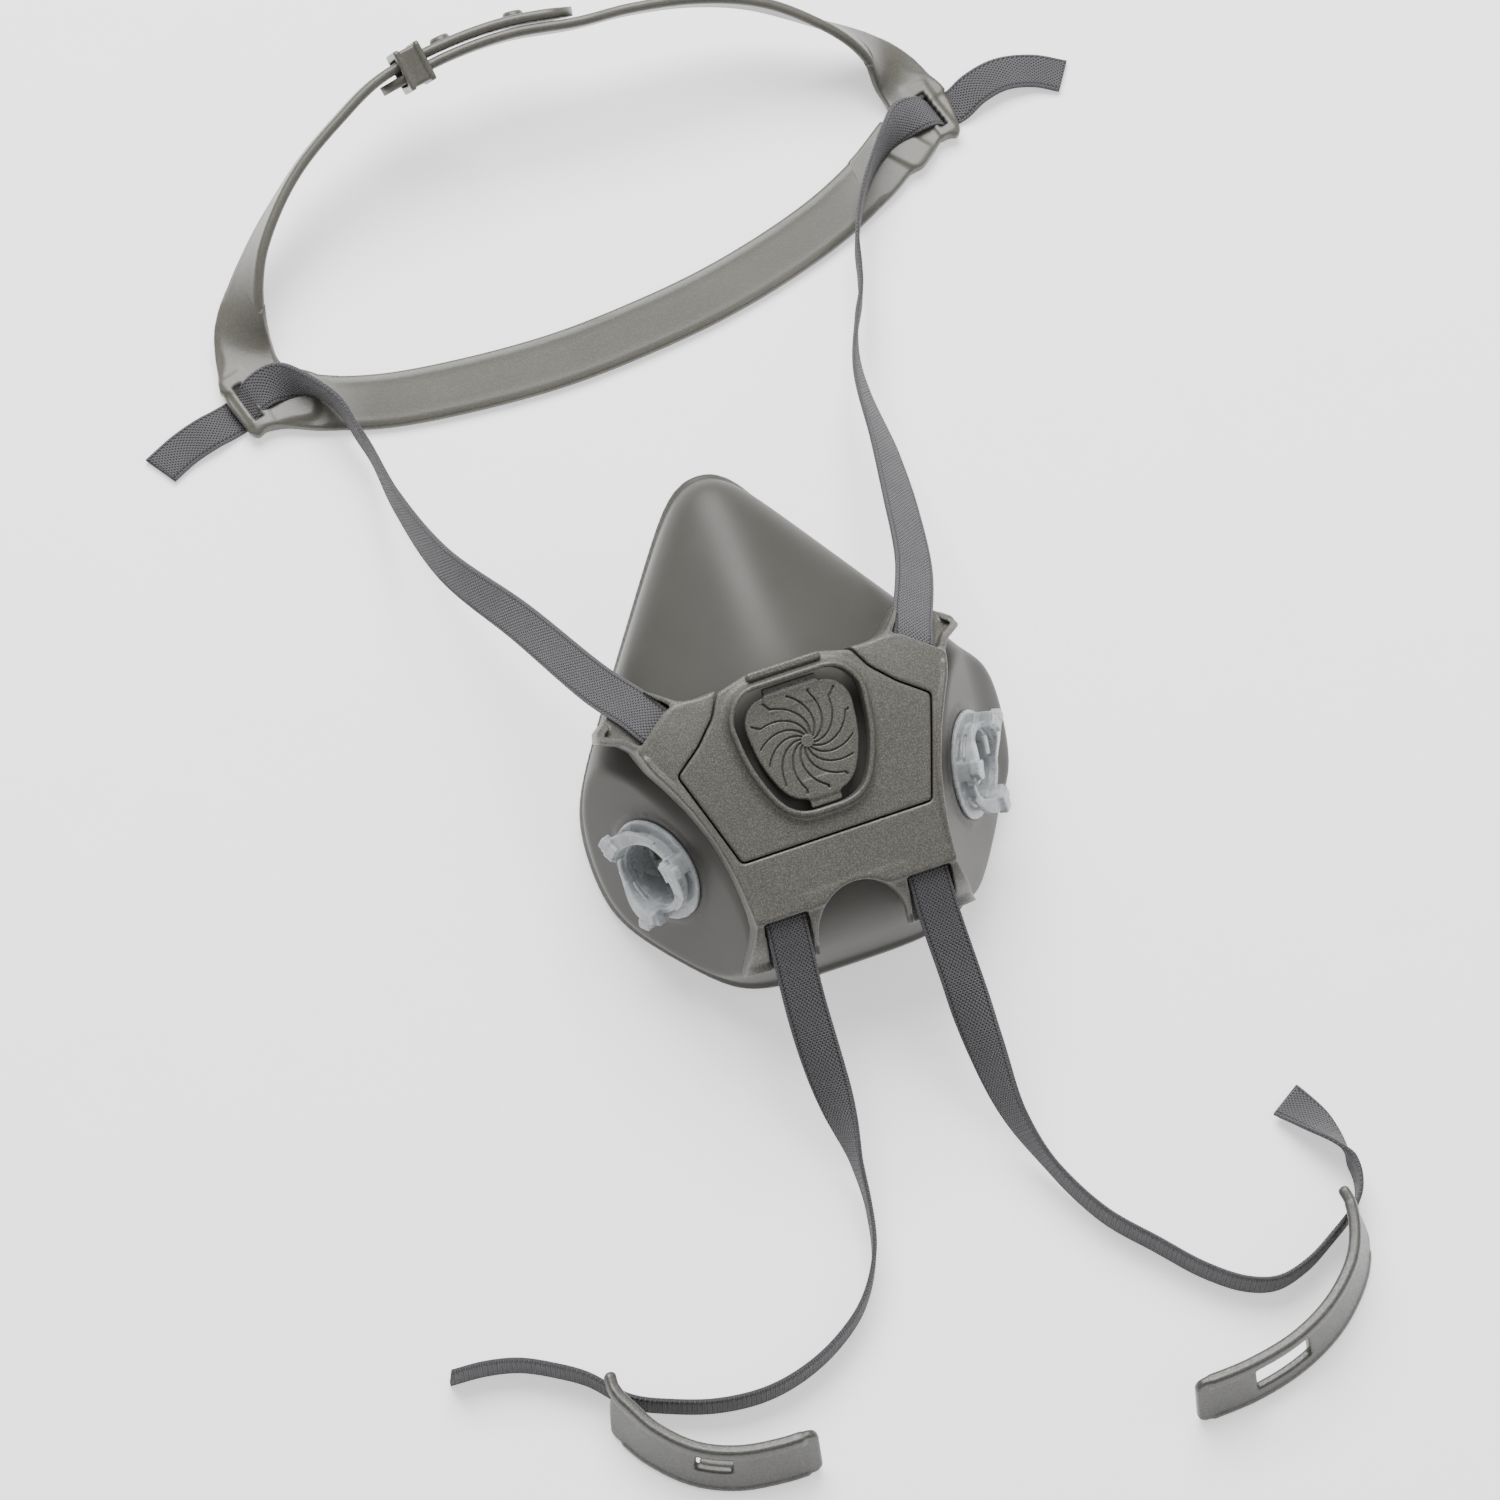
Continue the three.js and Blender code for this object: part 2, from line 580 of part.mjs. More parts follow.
const TAIL_RIGHT = [
  [[-97.6, 158.6, 2.4], [-0.3, 0.93, 0.05]], [[-103, 157, 2.2], [-0.3, 0.93, 0.02]],
  [[-110, 155, 1.6], [-0.35, 0.93, 0]], [[-117.5, 151.5, 1.1], [-0.45, 0.9, 0]],
];
const TAIL_LEFT = [
  [[109.6, 182.8, 2.4], [-0.1, 0.99, 0.05]], [[116, 185, 3.6], [-0.2, 0.97, 0]],
  [[124, 186.6, 3.8], [0, 1, 0]], [[133, 185.4, 2.4], [0.2, 0.97, 0]], [[140, 182, 1.1], [0.3, 0.95, 0]],
];
const LOWER_RIGHT = [
  [lowMouth(-1), [1, 0, 0]], [hung(-18, -41.8, 23.6), [1, 0, 0]],
  [hung(-18.4, -50, 30.5), [0.97, 0.1, 0.1]],
  [[-18.4, -60, 24], [0.8, 0.3, 0.5]], [[-18, -72, 16], [0.5, 0.3, 0.8]], [[-17.8, -84, 9.8], [0.1, 0.2, 1]],
  onEdge(-18.6, -95, 1.3), onEdge(-21.5, -106, 0.3), onEdge(-28, -116), onEdge(-37, -122.8),
  onEdge(-47, -127), onEdge(-57, -128.6), onEdge(-68, -127.4), onEdge(-78, -124), onEdge(-86.6, -119.6),
];
const LOWER_LEFT = [
  [lowMouth(1), [1, 0, 0]], [hung(18, -41.8, 23.6), [1, 0, 0]], [hung(18.8, -54, 33), [0.97, 0, 0]],
  [[19.4, -70, 20], [0.8, -0.2, 0.5]], [[21, -86, 12], [0.4, -0.2, 0.9]], onEdge(26, -101, 1.7),
  onEdge(33, -115, 0.3), onEdge(42, -126), onEdge(50, -135.5), onEdge(58, -142), onEdge(65, -144.3),
  onEdge(73, -142.6), onEdge(80.5, -138.8),
];
const NECK_TAIL_RIGHT = [
  onEdge(-94.2, -111.2), onEdge(-100, -107), onEdge(-108, -102.6), onEdge(-116, -100.6), onEdge(-124, -100),
];
const NECK_TAIL_LEFT = [
  onEdge(92, -128.4), onEdge(93, -123.6, 0.1), [[92, -117.6, 5.4], [-0.4, -0.1, 0.9]],
  [[89, -110, 4.4], [-0.8, -0.3, 0.5]], [[84.8, -102, 2], [-0.93, -0.37, 0.05]],
];
for (const [name, stops, steps] of [
  ['upper_strap_right', UPPER_RIGHT, 22], ['upper_strap_left', UPPER_LEFT, 22],
  ['upper_strap_end_right', END_RIGHT, 12], ['upper_strap_end_left', END_LEFT, 14],
  ['upper_tail_right', TAIL_RIGHT, 6], ['upper_tail_left', TAIL_LEFT, 8],
  ['lower_strap_right', LOWER_RIGHT, 36], ['lower_strap_left', LOWER_LEFT, 32],
  ['lower_tail_right', NECK_TAIL_RIGHT, 8], ['lower_tail_left', NECK_TAIL_LEFT, 10],
]) {
  add(floor, name, ribbon(stops, WEB, WEB_THICK, steps), WEBBING);
}

// ---- head cradle ----------------------------------------------------------------
const flat = (x, y, z, tilt = 0.24) => [[x, y, z], [0, 0.97, tilt]];
const BAND = [
  [[-81.6, 158.8, 3.2], [0.5, 0.86, 0.05]], [[-72, 154.4, 3.2], [0.3, 0.94, 0.15]], flat(-58, 150, 3.2),
  flat(-36, 147, 3.2), flat(-12, 146, 3.2), flat(10, 147.6, 3.2), flat(30, 150.5, 3.2),
  [[50, 155.5, 3.2], [-0.25, 0.94, 0.24]], [[68, 162, 3.2], [-0.4, 0.9, 0.2]],
  [[82, 169.5, 3.2], [-0.5, 0.85, 0.1]], [[93, 177.4, 3.2], [-0.6, 0.8, 0.05]],
];
add(floor, 'rear_band', ribbon(BAND, BAND_WIDTH, BAND_THICK, 40), CRADLE);

function endPlate(side, x, y, turn) {
  const edge = SLOT_HALF + 5.4;
  const outline = rounded([[-5.6, -edge], [4.6, 2 - edge], [4.6, edge - 1], [-5.6, edge]], 2.4);
  let plate = prism(outline, 2, 2 + BAND_THICK);
  const slot = [[-2, -SLOT_HALF], [0.2, -SLOT_HALF], [0.2, SLOT_HALF], [-2, SLOT_HALF]];
  plate = plate.subtract(prism(slot, 0, 9));
  const g = geometryOf(plate);
  if (side > 0) g.rotateZ(Math.PI);
  g.rotateZ(turn);
  g.translate(x, y, 0);
  return g;
}
add(floor, 'cradle_end_right', endPlate(-1, -90.4, 161, 0.12), CRADLE);
add(floor, 'cradle_end_left', endPlate(1, 102.4, 182, 0.22), CRADLE);

const ARCH = [0, -0.5, 0.866];
const lift = (share) => 4 + CROWN_RISE * share;
const LAYER_GAP = 0.8;
const layer = 0.5 * (BAND_THICK + LAYER_GAP);
const archUp = vec(0, 0.866, 0.5);
const inLayer = (side) => ([x, y, share]) => [
  [x, y + side * layer * archUp.y, lift(share) + side * layer * archUp.z], ARCH,
];
const LAP = [[-33, 224.6, 0.88], [-15, 227.6, 0.96], [2, 228.2, 0.98], [20, 226, 0.96]];
const CROWN_RIGHT = [
  [[-88, 174.4, 5.6], [0.95, -0.25, 0.15]], [[-86, 182, 8], [0.75, -0.25, 0.5]],
  [[-77, 196, lift(0.4)], [0.3, -0.45, 0.84]], [[-61, 211, lift(0.64)], ARCH],
  [[-46, 220, lift(0.8)], ARCH], ...LAP.map(inLayer(1)),
];
const CROWN_LEFT = [
  [[97.4, 194.8, 5.6], [-0.8, -0.5, 0.15]], [[93, 201.6, 9.6], [-0.5, -0.5, 0.6]],
  [[82.5, 208.5, lift(0.5)], [-0.2, -0.5, 0.84]], [[67.5, 217.5, lift(0.7)], ARCH],
  [[51.5, 222, lift(0.84)], ARCH], [[34, 224, lift(0.92)], ARCH],
  ...LAP.toReversed().map(inLayer(-1)),
];
add(floor, 'crown_strap_right', ribbon(CROWN_RIGHT, BAND_WIDTH, BAND_THICK, 30), CRADLE);
add(floor, 'crown_strap_left', ribbon(CROWN_LEFT, BAND_WIDTH, BAND_THICK, 34), CRADLE);

// Keeper sleeve round both crown layers, and the two pins that set the size.
const archOut = vec(...ARCH).normalize();
const archX = archUp.clone().cross(archOut);
function onArch(g, x, y, z, turn) {
  const m = new THREE.Matrix4().makeBasis(archX, archUp, archOut);
  g.rotateZ(turn);
  return g.applyMatrix4(m.setPosition(x, y, z));
}
function boxAt(dx, dy, dz, x = 0, y = 0, z = 0) {
  const g = new THREE.BoxGeometry(dx, dy, dz);
  return g.translate(x, y, z);
}
const sleeveHigh = 2 * BAND_THICK + LAYER_GAP + 1.6;
let keeper = solid(boxAt(7, sleeveHigh + 3, BAND_WIDTH + 4.2));
keeper = keeper.subtract(solid(boxAt(9, sleeveHigh, BAND_WIDTH + 1.2)));
const sleeve = onArch(geometryOf(keeper), -24, 226.4, lift(0.925), 0.18);
add(floor, 'crown_keeper', sleeve, CRADLE);

// ---- neck buckle --------------------------------------------------------------------
const BUCKLE_HEIGHT = 0.475 * BUCKLE_WIDTH + 0.5;  // the plate leans on the floor
const leaning = (x, y, inX, inY) => [[x, y, BUCKLE_HEIGHT], [0.3 * inX, 0.3 * inY, 0.95]];
const HOOK = [
  leaning(-91.6, -113.4, 1, 0.1), leaning(-91.8, -119, 1, 0.1), leaning(-89.2, -125, 0.9, 0.3),
  leaning(-85.6, -131.4, 0.7, 0.6), leaning(-78, -139.2, 0.4, 0.9), leaning(-69, -143.6, 0.2, 1),
  leaning(-58.5, -145.4, 0, 1), leaning(-49.5, -145.6, 0, 1),
];
const RECEIVER = [
  leaning(87.6, -129.6, -1, 0.1), leaning(88.2, -135, -1, 0.2), leaning(86.4, -142, -0.9, 0.4),
  leaning(82.6, -148.6, -0.8, 0.5), leaning(74, -156.4, -0.5, 0.8), leaning(63, -161.8, -0.3, 0.9),
  leaning(50, -164.6, -0.1, 1), leaning(38, -165, 0, 1),
];
// A box across the plate: from one share of its length to another.
function across(stops, from, to, half, deep, offset = 0) {
  const route = new THREE.CatmullRomCurve3(stops.map((s) => vec(...s[0])), false, 'centripetal');
  const t = (from + to) / 2;
  const p = route.getPointAt(t);
  const dir = route.getTangentAt(t);
  const wide = vec(...stops[Math.round(t * (stops.length - 1))][1]);
  wide.addScaledVector(dir, -wide.dot(dir)).normalize();
  const out = dir.clone().cross(wide).normalize();
  const g = new THREE.BoxGeometry((to - from) * route.getLength(), 2 * half, deep);
  g.translate(0, 0, offset);
  const m = new THREE.Matrix4().makeBasis(dir, wide, out);
  return solid(g.applyMatrix4(m.setPosition(p)));
}
let hook = solid(ribbon(HOOK, BUCKLE_WIDTH, BUCKLE_THICK, 26));
hook = hook.subtract(across(HOOK, 0.14, 0.2, SLOT_HALF, 8));
hook = hook.subtract(across(HOOK, 0.25, 0.31, SLOT_HALF, 8));
hook = hook.subtract(across(HOOK, 0.58, 0.76, 4, 8));
add(floor, 'neck_buckle_hook', geometryOf(hook), BUCKLE);
let receiver = solid(ribbon(RECEIVER, BUCKLE_WIDTH, BUCKLE_THICK, 26));
receiver = receiver.subtract(across(RECEIVER, 0.13, 0.19, SLOT_HALF, 8));
receiver = receiver.subtract(across(RECEIVER, 0.24, 0.3, SLOT_HALF, 8));
receiver = receiver.subtract(across(RECEIVER, 0.6, 0.78, 4.5, 8));
add(floor, 'neck_buckle_receiver', geometryOf(receiver), BUCKLE);

// The origin is under the middle of the whole object, on the floor.
group.updateMatrixWorld(true);
const whole = new THREE.Box3().setFromObject(group, true);
const middle = whole.getCenter(vec(0, 0, 0));
floor.position.set(-middle.x, -middle.y, -whole.min.z);

export default group;
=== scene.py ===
"""Half-face respirator laid out on a pale floor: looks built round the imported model.

Lengths in this script are millimetres until a mesh is made, which scales them to metres.
The floor frame has x to the wearer's left, y from chin to nose and z up, with x = y = 0
under the valve. The front frame is tilted with the mask's front: z points out of the valve.
"""
import math
import bpy
import mathutils
import numpy as np
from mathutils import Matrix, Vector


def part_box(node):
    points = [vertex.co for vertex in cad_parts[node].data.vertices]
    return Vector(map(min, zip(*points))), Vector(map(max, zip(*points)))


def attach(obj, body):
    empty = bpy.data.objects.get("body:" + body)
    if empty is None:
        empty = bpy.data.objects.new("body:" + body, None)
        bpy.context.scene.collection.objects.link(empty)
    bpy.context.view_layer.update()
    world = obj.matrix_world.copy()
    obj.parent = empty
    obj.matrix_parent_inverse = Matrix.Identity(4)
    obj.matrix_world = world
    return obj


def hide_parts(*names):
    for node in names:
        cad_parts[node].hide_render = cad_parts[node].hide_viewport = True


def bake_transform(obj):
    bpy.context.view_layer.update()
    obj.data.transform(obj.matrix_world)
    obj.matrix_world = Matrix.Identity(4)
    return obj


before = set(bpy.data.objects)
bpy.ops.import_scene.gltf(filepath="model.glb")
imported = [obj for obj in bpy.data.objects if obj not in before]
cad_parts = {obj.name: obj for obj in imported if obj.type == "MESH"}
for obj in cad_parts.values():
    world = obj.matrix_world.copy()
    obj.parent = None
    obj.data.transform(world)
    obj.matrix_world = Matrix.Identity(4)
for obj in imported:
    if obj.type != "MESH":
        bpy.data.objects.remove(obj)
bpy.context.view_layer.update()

MM = 0.001
TILT = math.radians(24)
SIN, COS = math.sin(TILT), math.cos(TILT)
VALVE_HEIGHT = 62.0

# The floor frame's origin in the row frame, read from the valve disc.
disc_low, disc_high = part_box("exhale_valve_disc")
DISC_DEPTH = -3.0
disc_mid = (np.array(disc_low) + np.array(disc_high)) / 2 / MM
SHIFT = np.array([disc_mid[0], disc_mid[1] + DISC_DEPTH * SIN, 0.0])


def to_floor(p):
    """Front frame to floor frame."""
    x, y, z = p[..., 0], p[..., 1], p[..., 2]
    return np.stack([x, y * COS - z * SIN, VALVE_HEIGHT + y * SIN + z * COS], -1)


def to_row(p):
    """Floor frame in millimetres to the row frame in metres."""
    return (np.asarray(p, float) + SHIFT) * MM


# ---- meshes ----
def make(name, points, faces, uv=None):
    mesh = bpy.data.meshes.new(name)
    mesh.from_pydata([tuple(p) for p in points], [], [tuple(f) for f in faces])
    if uv is not None:
        layer = mesh.uv_layers.new(name="webbing")
        loops = np.zeros(len(mesh.loops), np.int32)
        mesh.loops.foreach_get("vertex_index", loops)
        layer.data.foreach_set("uv", np.asarray(uv, np.float32)[loops].ravel())
    mesh.polygons.foreach_set("use_smooth", [True] * len(mesh.polygons))
    mesh.update()
    obj = bpy.data.objects.new(name, mesh)
    bpy.context.scene.collection.objects.link(obj)
    return obj


def surface_nets(field, low, high, step):
    """Closed quads where field(points) changes sign, with vertices drawn onto it."""
    axes = [np.arange(a - 2 * step, b + 2.5 * step, step) for a, b in zip(low, high)]
    slab = np.empty((len(axes[1]), len(axes[2]), 3))
    slab[..., 1], slab[..., 2] = np.meshgrid(axes[1], axes[2], indexing="ij")
    value = np.empty([len(a) for a in axes])
    for i, x in enumerate(axes[0]):
        slab[..., 0] = x
        value[i] = field(slab)
    for axis in range(3):
        for end in (0, -1):
            rim = [slice(None)] * 3
            rim[axis] = end
            value[tuple(rim)] = np.maximum(value[tuple(rim)], 0.1 * step)
    inside = value < 0
    n = np.array(inside.shape) - 1
    corner = [(i, j, k) for i in (0, 1) for j in (0, 1) for k in (0, 1)]

    def part(a, c):
        return a[c[0]:c[0] + n[0], c[1]:c[1] + n[1], c[2]:c[2] + n[2]]

    count = sum(part(inside, c).astype(int) for c in corner)
    mixed = (count > 0) & (count < 8)
    index = np.full(mixed.shape, -1)
    index[mixed] = np.arange(mixed.sum())
    base = np.stack(np.nonzero(mixed), -1)
    total = np.zeros((len(base), 3))
    hits = np.zeros(len(base))
    for a in corner:
        for axis in range(3):
            if a[axis]:
                continue
            b = list(a)
            b[axis] = 1
            va, vb = part(value, a)[mixed], part(value, b)[mixed]
            cross = (va < 0) != (vb < 0)
            t = np.where(cross, va / np.where(cross, va - vb, 1), 0)
            p = np.tile(np.array(a, float), (len(base), 1))
            p[:, axis] = t
            total[cross] += p[cross]
            hits[cross] += 1
    points = (base + total / hits[:, None]) * step + np.array([a[0] for a in axes])
    faces = []
    for axis in range(3):
        u, v = (axis + 1) % 3, (axis + 2) % 3
        a = [slice(None)] * 3
        b = [slice(None)] * 3
        a[axis] = slice(0, -1)
        b[axis] = slice(1, None)
        first, second = inside[tuple(a)], inside[tuple(b)]
        for flip, change in ((False, first & ~second), (True, ~first & second)):
            at = np.stack(np.nonzero(change), -1)
            at = at[(at[:, u] > 0) & (at[:, v] > 0)]
            quad = []
            for du, dv in ((-1, -1), (0, -1), (0, 0), (-1, 0)):
                c = at.copy()
                c[:, u] += du
                c[:, v] += dv
                quad.append(index[c[:, 0], c[:, 1], c[:, 2]])
            quad = np.stack(quad[::-1] if flip else quad, -1)
            faces.append(quad)
    h = 0.3 * step
    for _ in range(2):
        f = field(points)
        g = np.stack([field(points + h * e) - field(points - h * e) for e in np.eye(3)], -1) / (2 * h)
        move = -g * (f / np.maximum((g * g).sum(-1), 0.05))[:, None]
        size = np.linalg.norm(move, axis=-1, keepdims=True)
        points = points + move * np.minimum(1, 0.6 * step / np.maximum(size, 1e-9))
    return points, np.concatenate(faces)


def moulded(name, field, low, high, step, settle=None):
    """The solid of a field. settle takes its points from the field's frame to the floor frame."""
    points, faces = surface_nets(field, low, high, step)
    return make(name, to_row(settle(points) if settle else points), faces)


# ---- fields: negative inside, in millimetres ----
def smax(a, b, k):
    h = np.clip(0.5 - 0.5 * (b - a) / k, 0, 1)
    return b + (a - b) * h + k * h * (1 - h)


def smin(a, b, k):
    return -smax(-a, -b, k)


def shared(values, round_):
    """The greatest value, with the change from one to the next rounded off."""
    top = np.max(values, 0)
    return top + np.log(sum(np.exp(round_ * (v - top)) for v in values)) / round_


def planes(p, listed, round_):
    values = []
    for normal, point in listed:
        n = np.array(normal, float)
        n /= np.linalg.norm(n)
        values.append(p @ n - n @ np.array(point, float))
    return shared(values, round_)


def polygon(p, corners):
    """Signed distance in x, y to a polygon. A slab of the grid shares it along z."""
    q = p[:, :1] if p.ndim == 3 else p
    x, y = q[..., 0], q[..., 1]
    best = np.full(x.shape, 1e9)
    inside = np.zeros(x.shape, bool)
    count = len(corners)
    for i in range(count):
        ax, ay = corners[i]
        bx, by = corners[(i + 1) % count]
        ex, ey = bx - ax, by - ay
        t = np.clip(((x - ax) * ex + (y - ay) * ey) / (ex * ex + ey * ey), 0, 1)
        best = np.minimum(best, (x - ax - t * ex) ** 2 + (y - ay - t * ey) ** 2)
        if ey:
            inside ^= ((ay > y) != (by > y)) & (x < (y - ay) / ey * ex + ax)
    return np.where(inside, -1, 1) * np.sqrt(best) + 0 * p[..., 2]


def block(p, centre, half, round_):
    q = np.abs(p - np.array(centre)) - np.array(half) + round_
    outer = np.linalg.norm(np.maximum(q, 0), axis=-1)
    return outer + np.minimum(q.max(-1), 0) - round_


def both(points):
    """A right-hand outline and its mirror image as one closed outline."""
    return list(points) + [(-x, y) for x, y in reversed(points)]


def fold(p):
    """Left and right halves as one."""
    q = p.copy()
    q[..., 0] = np.abs(q[..., 0])
    return q


def rounded(corners, radius, steps):
    """A polygon with every corner cut by an arc of about the given radius."""
    out = []
    pts = np.array(corners, float)
    for i, p in enumerate(pts):
        a, b = pts[i - 1] - p, pts[(i + 1) % len(pts)] - p
        la, lb = np.linalg.norm(a), np.linalg.norm(b)
        r = min(radius, la / 2.05, lb / 2.05)
        s, e = p + a / la * r, p + b / lb * r
        for k in range(steps + 1):
            t = k / steps
            out.append((1 - t) ** 2 * s + 2 * t * (1 - t) * p + t * t * e)
    return np.array(out)


def ease(share):
    """Zero to one with a level start and end."""
    return share * share * (3 - 2 * share)


def polar(p):
    """Radius, angle and height round the z axis."""
    return np.hypot(p[..., 0], p[..., 1]), np.arctan2(p[..., 1], p[..., 0]), p[..., 2]


def sector(angle, count, before=None):
    """The angle counted from the middle of its own sector, one of count round a ring."""
    step = 2 * math.pi / count
    before = before or step / 2
    return (angle + before) % step - before


def along_across(p, start, way):
    """Distances in x, y from a start, along a way and across it."""
    x, y = p[..., 0] - start[0], p[..., 1] - start[1]
    return x * way[0] + y * way[1], y * way[0] - x * way[1]


# ---- facepiece and yoke surfaces, front frame ----
CHEEK = np.array([math.sin(math.radians(57)), -0.222, 0.498])
CHEEK /= np.linalg.norm(CHEEK)
PORT_BASE = np.array([38.9, -18.1, -24.0])
FRONT = ((0, 0, 1), (0, 0, -1.2))
NOSE = ((0.461, 0.37, 0.807), (0, 19, -0.6))
CHIN = ((0, -0.5, 0.87), (0, -38, -4.6))
BOWL = [
    FRONT, NOSE, CHIN, ((0.8, 0.573, -0.12), (28.6, 37.1, -29)), ((0, 0.98, -0.1), (0, 69.0, -30)),
    ((0.99, -0.03, -0.1), (53.6, -11, -30)), ((0.72, -0.68, -0.08), (43.8, -37.5, -30)),
    ((0, -0.966, 0.26), (0, -48.5, -18)),
]
DECK = [
    ((0, 0, 1), (0, 0, 2.4)), ((0.3, 0.08, 0.95), (31, 0, 2.6)), ((0.1, 0.22, 0.97), (0, 17, 2.7)),
]
SOFT = 0.3              # how sharply the bowl's planes meet
WALL = 2.4
GAP = 0.35              # room between parts that clip together
FAR = 50                # a value that leaves a field alone
BOWL_CREASE, SADDLE_CREASE, FLAT_CREASE = 0.9, 2.6, 7.0
CHEEK_BULGE = 2.8


def mirrored(listed):
    """The planes with a left and a right one for each that leans sideways."""
    out = []
    for (nx, ny, nz), (x, y, z) in listed:
        out.append(((nx, ny, nz), (x, y, z)))
        if nx:
            out.append(((-nx, ny, nz), (-x, y, z)))
    return out


def skin_of(p, listed, crease):
    """Planes blended softly, then cut by the flat cheeks along a crease."""
    soft = planes(p, mirrored(listed), SOFT)
    q = fold(p)
    cheek = q @ CHEEK - CHEEK @ PORT_BASE
    near = np.clip((p[..., 2] + 18) / 12, 0, 1)
    return smax(soft, cheek, crease + (FLAT_CREASE - crease) * ease(near))


def bowl(p):
    # The wearer's left cheek bulges a little more than the right one.
    q = p.copy()
    share = np.clip((p[..., 0] - 46) / 9, 0, 1)
    q[..., 0] -= CHEEK_BULGE * ease(share)
    return skin_of(q, BOWL, BOWL_CREASE)


def saddle(p):
    """The surface under the yoke, which has no cheek or chin borders."""
    return skin_of(p, [FRONT, NOSE, CHIN], SADDLE_CREASE)


RIM_RISE, RIM_TURN = 3.0, 36.0  # softness and place of the rim's rise toward the nose
RIM_SLOPE = 1.3


def above_rim(p):
    """Distance above the rim line, which climbs beside the nose."""
    f = to_floor(p)
    climb = RIM_SLOPE * (f[..., 1] - RIM_TURN) / RIM_RISE
    slope = RIM_SLOPE / (1 + np.exp(-climb))
    return (f[..., 2] - RIM_RISE * np.logaddexp(0, climb)) / np.sqrt(1 + slope * slope)


def port_axes(side):
    """The x, y and z directions of a port's frame, as columns."""
    z = CHEEK * (side, 1, 1)
    x = np.cross((0, 1, 0), z)
    x /= np.linalg.norm(x)
    return np.stack([x, np.cross(z, x), z], -1)


PORT_AXES = {side: port_axes(side) for side in (-1, 1)}


def to_port(p, side):
    return (p - PORT_BASE * (side, 1, 1)) @ PORT_AXES[side]


def from_port(p, side):
    return p @ PORT_AXES[side].T + PORT_BASE * (side, 1, 1)


BORE, PORT_HOLE, HOLE_DEPTH = 11.4, 9.5, 18
LIP_REACH, LIP_THICK = 10.5, 2.0
BEAD_HEIGHT, BEAD = 4.2, 0.8
BOSS = 14.4


def facepiece(p):
    out = bowl(p)
    rim = above_rim(p)
    wall = smax(out, -(out + WALL), 0.6)
    low = 0.2 * np.clip(-out, 0, 20)
    lip = smax(smax(out, -(out + LIP_REACH), 1.0), np.maximum(low - rim, rim - low - LIP_THICK), 1.0)
    body = smax(smin(wall, lip, 3.0), 0.05 - rim, 1.2)
    # A bead runs round the outside just above the rim.
    bead = np.hypot(out - 0.1, rim - BEAD_HEIGHT) - BEAD
    body = smin(body, bead, 1.6)
    reach = np.where(p[..., 2] > -HOLE_DEPTH, FAR, -1)
    bore = np.minimum(BORE - np.hypot(p[..., 0], p[..., 1]), reach)
    body = smax(body, bore.clip(-FAR, FAR), 0.8)
    q = to_port(fold(p), 1)
    r = np.hypot(q[..., 0], q[..., 1])
    hole = np.where(q[..., 2] > -HOLE_DEPTH, PORT_HOLE - r, -FAR)
    boss = np.maximum(r - BOSS, np.abs(q[..., 2] + 0.4) - 0.7)
    return smax(smin(body, boss, 1.0), hole, 0.8)


DECK_SIDE = [
    (11.4, -37.4), (24.8, -37.4), (25.2, -32), (25.6, -28), (26.5, -22.4), (28.1, -15.4), (30.9, -7.4),
    (34.1, -0.6), (36.8, 4.4), (38.4, 9.6), (28.7, 17.2), (24.6, 17.6), (20.5, 17.4), (15.6, 17.8),
    (8.4, 19.8),
]
EAR_UP = [
    (34.6, 3), (37.6, 8.9), (40.6, 12.2), (45.4, 14.4), (44.6, 17.0), (33.6, 25.0), (30, 21.8),
    (26.6, 19.0), (20, 15),
]
EAR_LOW = [
    (0, -34), (0, -48.8), (29.2, -48.8), (28.0, -45.6), (26.0, -41), (24.8, -37.4), (24, -34),
]
PANEL_SIDE = [(23.4, -22.2), (31.2, 1.4), (24.4, 6.6), (19.2, 12.0), (16.6, 17.0), (8.4, 19.2)]
PANEL = rounded(both(PANEL_SIDE), 1.0, 3)
DECK_LINE = rounded(both(DECK_SIDE), 1.2, 2)
# Where a strap leaves the yoke: the place and the way out.
UPPER_MOUTH = (31.4, 13.4), (0.6173, 0.7867)
LOWER_MOUTH = (17.7, -37.4), (0.0, -1.0)
# The length of the mouth's hole, then its lowest and highest z.
MOUTHS = [(UPPER_MOUTH, 7.0, -6.0, -1.6), (LOWER_MOUTH, 6.0, -1.5, 0.2)]
MOUTH_HALF, CHANNEL_HALF = 5.6, 5.5
ARCH_RADIUS, ARCH_TOP = 11.0, -45.4
COLLAR_SIDE = [(0.56, -1), (0.93, -0.2), (1, 0.625), (0.725, 0.96)]
COLLAR_EDGE = 0.6       # half the thickness of the collar's wall


def shield(half, corner):
    return rounded([(x * half, y * half) for x, y in both(COLLAR_SIDE)], corner, 8)


COLLAR = shield(16.3, 6.6)   # the middle of the collar's wall
COVER = shield(13.3, 5.6)


def deck_top(p):
    return planes(p, mirrored(DECK), 1.2)


def upper_ear(q, deck):
    """A strap ear beside the nose: a sloping floor between two thin side walls."""
    along, across = along_across(q, *UPPER_MOUTH)
    edge = polygon(q, EAR_UP)
    floor_top = q[..., 2] + 5.0 + 0.9 * np.maximum(along, 0)
    plate = smax(edge, np.abs(floor_top + 1.1) - 1.1, 0.6)
    share = np.clip((along - 0.5) / 9.5, 0, 1)
    top = deck * (1 - share) + (floor_top - 1.6) * share
    wall = smax(np.abs(edge + 0.95) - 0.85, smax(CHANNEL_HALF - np.abs(across), top, 0.5), 0.6)
    return smin(plate, wall, 0.7)


